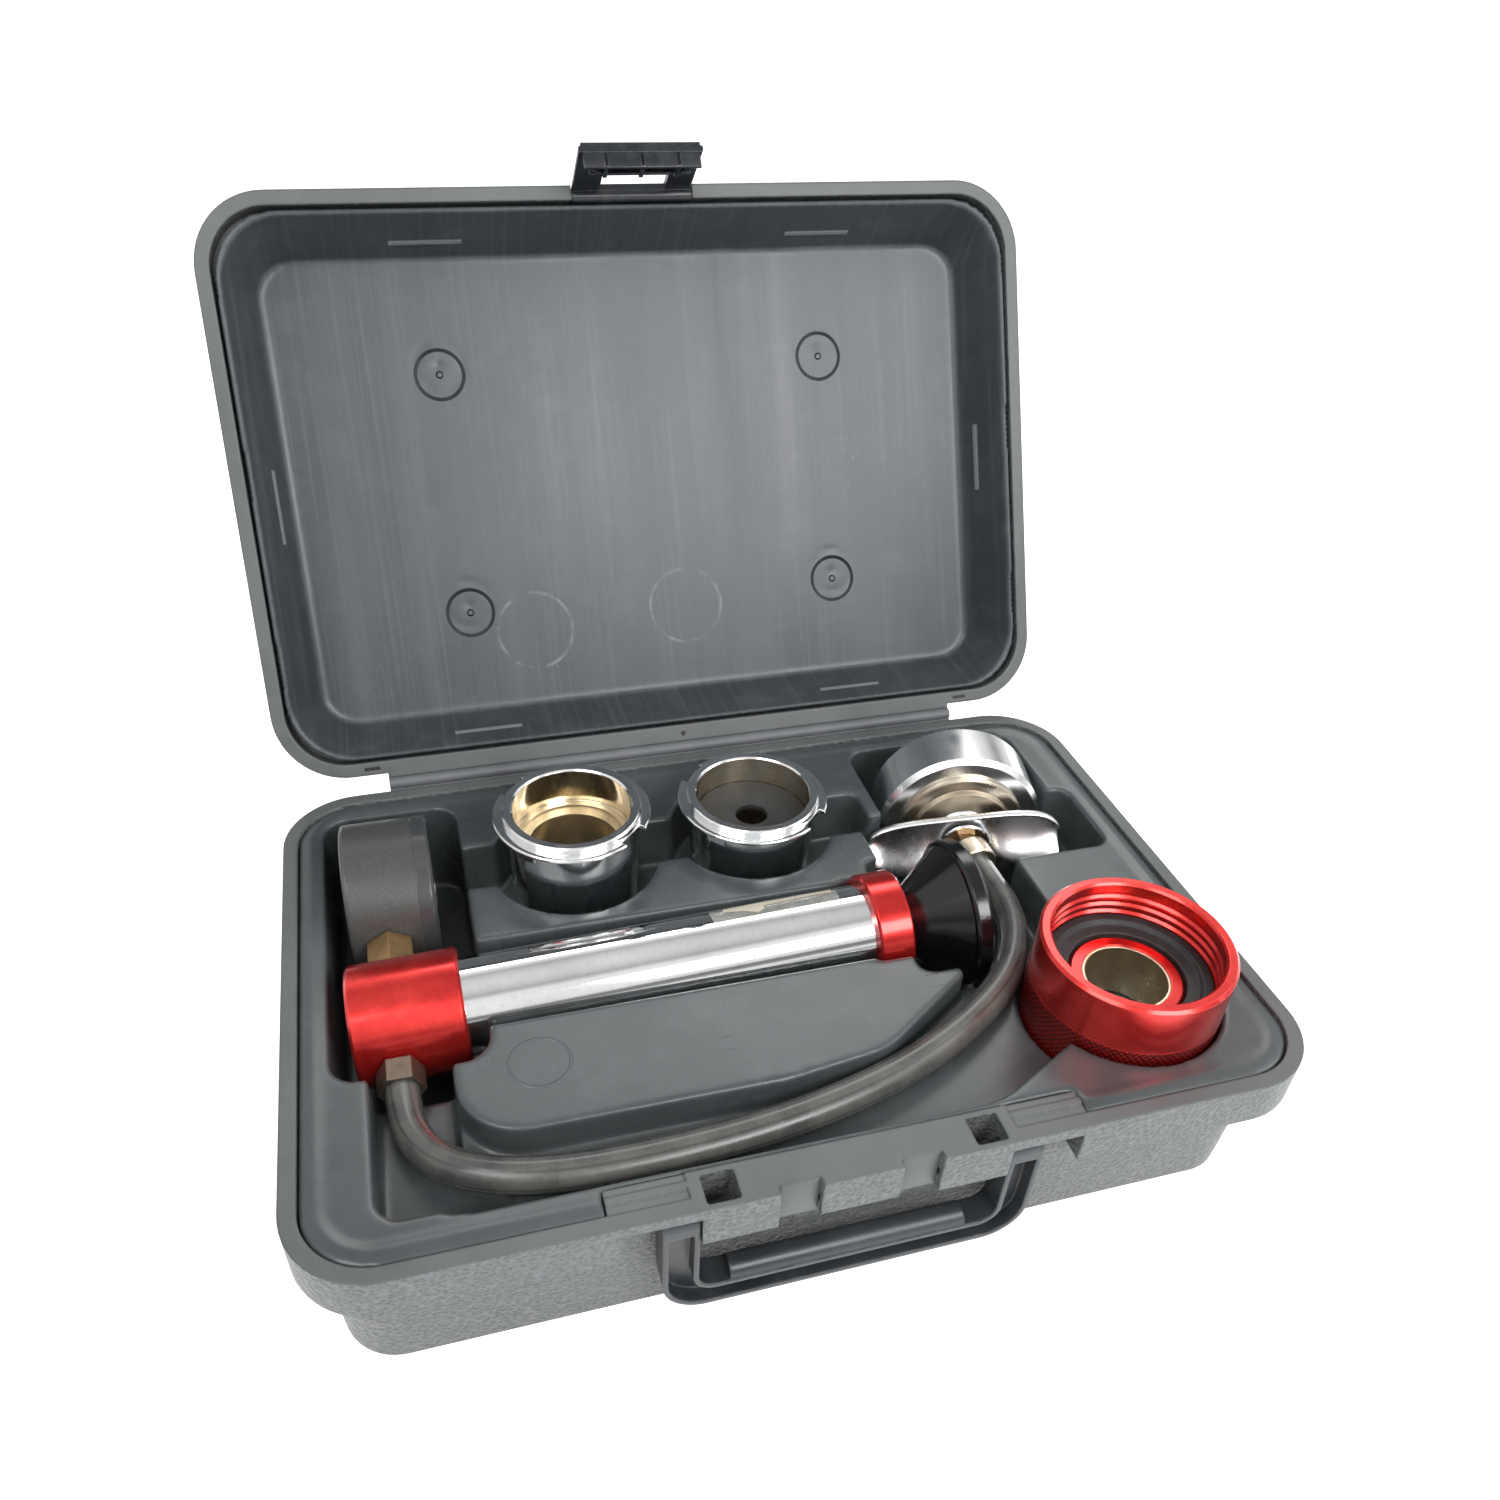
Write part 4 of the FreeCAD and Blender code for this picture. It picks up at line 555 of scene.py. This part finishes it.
# cap lever: a stamped strip with a folded top edge and two dished wings
CAP = Matrix.Translation((0.1018, 0.0583, 0.05)) @ Matrix.Rotation(math.radians(-12.8), 4, "Z")
LEVER = [  # along, top edge and bottom edge, in millimetres from the cap's axis
    (-38.2, 1.5, -5), (-35.5, 5.2, -9.6), (-30, 7.8, -12.2), (-23, 9.6, -12.4), (-17, 10.6, -10),
    (-11.5, 11.4, -6.4), (-6, 12.2, -6), (0, 13, -6), (6, 13.8, -5.6), (11.5, 14.6, -3.6),
    (18, 15.2, -4.8), (26, 15.4, -6.8), (32.5, 13.6, -4.4), (37.5, 8.4, -0.6),
]


def lever_profile(x, top, bottom):
    """Points from the fold's lip over the top and down the dished face, as (z, depth)."""
    wing = min(1.0, max(0.0, (abs(x) - 7) / 7))
    points = [(top - 0.9, 22.2), (top - 0.1, 21.4), (top, 20.2), (top - 0.8, 19.2)]
    for i in range(1, 8):
        t = i / 7
        dish = 1.8 * wing * math.sin(math.pi * min(t * 1.15, 1))
        lean = 8.5 * wing * t
        points.append((top - 0.8 + (bottom - top + 0.8) * t, 19.2 + lean - dish))
    return points


STEM_HOLE = 0.00525


def lever():
    """The lever's strip, thickened and smoothed, with a hole for the stem."""
    rows = [[Vector((x / 1000, -d / 1000, z / 1000)) for z, d in lever_profile(x, top, low)]
            for x, top, low in LEVER]
    bm = bmesh.new()
    grid = [[bm.verts.new(co) for co in row] for row in rows]
    for a, b in zip(grid, grid[1:]):
        for i in range(len(a) - 1):
            bm.faces.new((a[i], b[i], b[i + 1], a[i + 1]))
    bmesh.ops.recalc_face_normals(bm, faces=bm.faces)
    made = named("stamped_lever", bm)
    scene.collection.objects.link(made)
    wall = made.modifiers.new("wall", "SOLIDIFY")
    wall.thickness, wall.offset = 0.0014, 0.0
    ease = made.modifiers.new("ease", "SUBSURF")
    ease.levels = ease.render_levels = 2
    baked(made)
    bm = bmesh.new()
    bmesh.ops.create_cone(bm, segments=48, radius1=STEM_HOLE, radius2=STEM_HOLE, depth=0.04,
                          cap_ends=True, matrix=Matrix.Rotation(math.radians(90), 4, "X"))
    bmesh.ops.translate(bm, verts=bm.verts, vec=(0, -0.02, 0))
    cutter = named("stem_hole", bm)
    scene.collection.objects.link(cutter)
    cut = made.modifiers.new("cut", "BOOLEAN")
    cut.operation, cut.object, cut.solver = "DIFFERENCE", cutter, "EXACT"
    baked(made)
    bpy.data.objects.remove(cutter)
    scene.collection.objects.unlink(made)
    made.data.transform(CAP)
    finish_piece(made, "kit", pitted_chrome)
    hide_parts("cap_lever")


def stem_washer():
    """A pressed washer with a rolled rim, in front of the lever."""
    bm = bmesh.new()
    rings, count = [], 48
    for radius, depth in ((5.4, 21.9), (6.4, 22.6), (8.2, 22.4), (9.4, 23.2), (10.1, 22.5),
                          (9.6, 21.5), (8, 21.2), (5.4, 21.2)):
        rings.append([bm.verts.new((radius * math.cos(t) / 1000, -depth / 1000,
                                    radius * math.sin(t) / 1000))
                      for t in (2 * math.pi * i / count for i in range(count))])
    for a, b in zip(rings, rings[1:] + rings[:1]):
        for i in range(count):
            j = (i + 1) % count
            bm.faces.new((a[i], a[j], b[j], b[i]))
    bmesh.ops.recalc_face_normals(bm, faces=bm.faces)
    made = named("stem_washer", bm)
    made.data.transform(CAP)
    finish_piece(made, "kit", worn_chrome)


lever()
stem_washer()


# the front of the case: shallow panels beside the latch's land, and the handle's stubs
finish_piece(blocks("land_panels", mirrored(12.4, 24.8, (-103.8, 45.4), (-102.6, 60.8))),
             "case", smooth_black, 0.0003)
finish_piece(blocks("pivot_stubs", mirrored(37.2, 45.4, (-103.2, 49.6), (-98.8, 53.9))),
             "carry_handle", handle_black, 0.0012)


# clear tape on the barrel, with what is left of a torn label; the barrel's axis and radius
PUMP = Matrix.Translation((-0.139, -0.0046, 0.04895)) @ Matrix.Rotation(math.radians(-1.9), 4, "Y")
BARREL_RADIUS = 0.0164


def wrapped(name, outline, rise, look):
    """A patch that lies round the barrel; the outline is (along in mm, degrees from the front)."""
    bm = bmesh.new()
    base = [bm.verts.new((s, a, 0)) for s, a in outline]
    bm.faces.new(base)
    bmesh.ops.triangulate(bm, faces=bm.faces)
    bmesh.ops.subdivide_edges(bm, edges=bm.edges, cuts=7, use_grid_fill=True)
    radius = BARREL_RADIUS + rise
    for v in bm.verts:
        along, turn = v.co.x / 1000, math.radians(v.co.y)
        v.co = (along, -radius * math.cos(turn), radius * math.sin(turn))
    made = named(name, bm)
    made.data.transform(PUMP)
    finish_piece(made, "kit", look)


wrapped("tape_film", [(122, 84), (143, 82), (167, 84), (168, 118), (144, 121), (121.5, 119)],
        0.00012, tape)
wrapped("tape_scrap", [(126, 109), (133, 104), (138, 96), (140.5, 101), (141, 108), (150, 109),
                       (158, 111), (166, 110), (166.5, 119), (140, 121), (127, 118)],
        0.00022, paper)


# hose: the height at which its line lies on the tray, its route from the nut to the ferrule, and
# its radius
LEVEL = 0.0546
ROUTE = [
    (-0.12561, -0.0286, 0.04939), (-0.12561, -0.0436, 0.04939), (-0.1224, -0.057, 0.05029),
    (-0.1136, -0.069, 0.05249), (-0.099, -0.0772, LEVEL - 0.0001), (-0.079, -0.0808, LEVEL),
    (-0.052, -0.0812, LEVEL), (-0.023, -0.0794, LEVEL), (0.004, -0.075, LEVEL),
    (0.03, -0.0676, LEVEL), (0.054, -0.0564, LEVEL), (0.076, -0.0412, LEVEL),
    (0.0895, -0.0229, LEVEL - 0.0004), (0.0956, -0.0032, LEVEL - 0.0018),
    (0.0959, 0.0136, 0.051), (0.0959, 0.027, 0.051),
]
HOSE_RADIUS = 0.0055


def make_hose():
    data = bpy.data.curves.new("hose_line", "CURVE")
    data.dimensions = "3D"
    line = data.splines.new("NURBS")
    line.points.add(len(ROUTE) - 1)
    for point, place in zip(line.points, ROUTE):
        point.co = (*place, 1)
    line.order_u = 3
    line.use_endpoint_u = True
    line.resolution_u = 12
    data.bevel_depth = HOSE_RADIUS
    data.bevel_resolution = 7
    data.use_fill_caps = True
    made = bpy.data.objects.new("rubber_hose", data)
    scene.collection.objects.link(made)
    data.materials.append(hose_brown)
    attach(made, "kit")
    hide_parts("hose")


make_hose()


# stage
def floor():
    """A matt white floor that shows as white without lighting the object."""
    size = 6.0
    mesh = bpy.data.meshes.new("floor")
    mesh.from_pydata([(-size, -size, 0), (size, -size, 0), (size, size, 0), (-size, size, 0)], [],
                     [(0, 1, 2, 3)])
    made = bpy.data.objects.new("floor", mesh)
    scene.collection.objects.link(made)
    n = Nodes("floor_white")
    path = n.add("LightPath")
    seen = n.math("MAXIMUM", path.outputs["Is Camera Ray"], path.outputs["Is Glossy Ray"])
    seen = n.math("MAXIMUM", seen, path.outputs["Is Transmission Ray"])
    grain = n.noise(3, 2, 0.5)
    n.set(Base_Color=n.mix(grain, rgb(0.9, 0.9, 0.9), rgb(0.93, 0.93, 0.93)), Roughness=0.9)
    n.shader.inputs["Emission Color"].default_value = rgb(1, 1, 1)
    n.set(Emission_Strength=n.math("MULTIPLY", seen, 0.72))
    mesh.materials.append(n.mat)


def sky():
    """White to the camera, a soft gradient for light, and pale and dark bands for reflections."""
    world = bpy.data.worlds.new("studio")
    scene.world = world
    world.use_nodes = True
    add, link = world.node_tree.nodes.new, world.node_tree.links.new
    split, ramp = add("ShaderNodeSeparateXYZ"), add("ShaderNodeValToRGB")
    link(add("ShaderNodeTexCoord").outputs["Generated"], split.inputs[0])
    link(split.outputs["Z"], ramp.inputs[0])
    ramp.color_ramp.elements[0].position = 0.02
    ramp.color_ramp.elements[0].color = (0.12, 0.15, 0.21, 1)
    ramp.color_ramp.elements[1].position = 0.75
    ramp.color_ramp.elements[1].color = (0.93, 0.98, 1, 1)
    diffuse = world.node_tree.nodes["Background"]
    diffuse.inputs["Strength"].default_value = 0.55
    link(ramp.outputs[0], diffuse.inputs["Color"])

    bands = add("ShaderNodeValToRGB")
    link(split.outputs["Z"], bands.inputs[0])
    steps = ((0.0, 0.5), (0.1, 0.95), (0.18, 0.3), (0.28, 0.22), (0.36, 0.9), (0.66, 1.0),
             (0.82, 0.95), (0.9, 0.5), (1.0, 0.8))
    stops = bands.color_ramp.elements
    for stop, (where, tone) in ((stops[0], steps[0]), (stops[1], steps[-1])):
        stop.position, stop.color = where, (tone, tone, tone, 1)
    for where, tone in steps[1:-1]:
        stops.new(where).color = (tone, tone, tone, 1)
    glossy = add("ShaderNodeBackground")
    link(bands.outputs[0], glossy.inputs["Color"])

    white = add("ShaderNodeBackground")
    white.inputs["Strength"].default_value = 1.0
    path, through = add("ShaderNodeLightPath"), add("ShaderNodeMath")
    through.operation = "MAXIMUM"
    link(path.outputs["Is Camera Ray"], through.inputs[0])
    link(path.outputs["Is Transmission Ray"], through.inputs[1])
    lit, shown = add("ShaderNodeMixShader"), add("ShaderNodeMixShader")
    for mixer, factor, a, b in ((lit, path.outputs["Is Glossy Ray"], diffuse, glossy),
                                (shown, through.outputs[0], lit, white)):
        link(factor, mixer.inputs[0])
        link(a.outputs[0], mixer.inputs[1])
        link(b.outputs[0], mixer.inputs[2])
    link(shown.outputs[0], world.node_tree.nodes["World Output"].inputs[0])


def lamp(name, place, aim, size, energy):
    data = bpy.data.lights.new(name, "AREA")
    data.shape = "RECTANGLE"
    data.size, data.size_y = size
    data.energy = energy
    made = bpy.data.objects.new(name, data)
    scene.collection.objects.link(made)
    made.location = place
    made.rotation_euler = (Vector(aim) - Vector(place)).to_track_quat("-Z", "Y").to_euler()


floor()
sky()
lamp("key", (0.45, -1.05, 0.95), (0, 0.1, 0.1), (0.8, 0.5), 14)
lamp("fill", (-0.8, -0.6, 1.3), (0, 0, 0.05), (0.9, 0.6), 10)
lamp("back", (0.35, 1.1, 1.2), (0, 0.1, 0.1), (1.2, 0.5), 7)
lamp("side", (1.2, -0.3, 0.8), (0, 0, 0.08), (0.5, 0.9), 5)
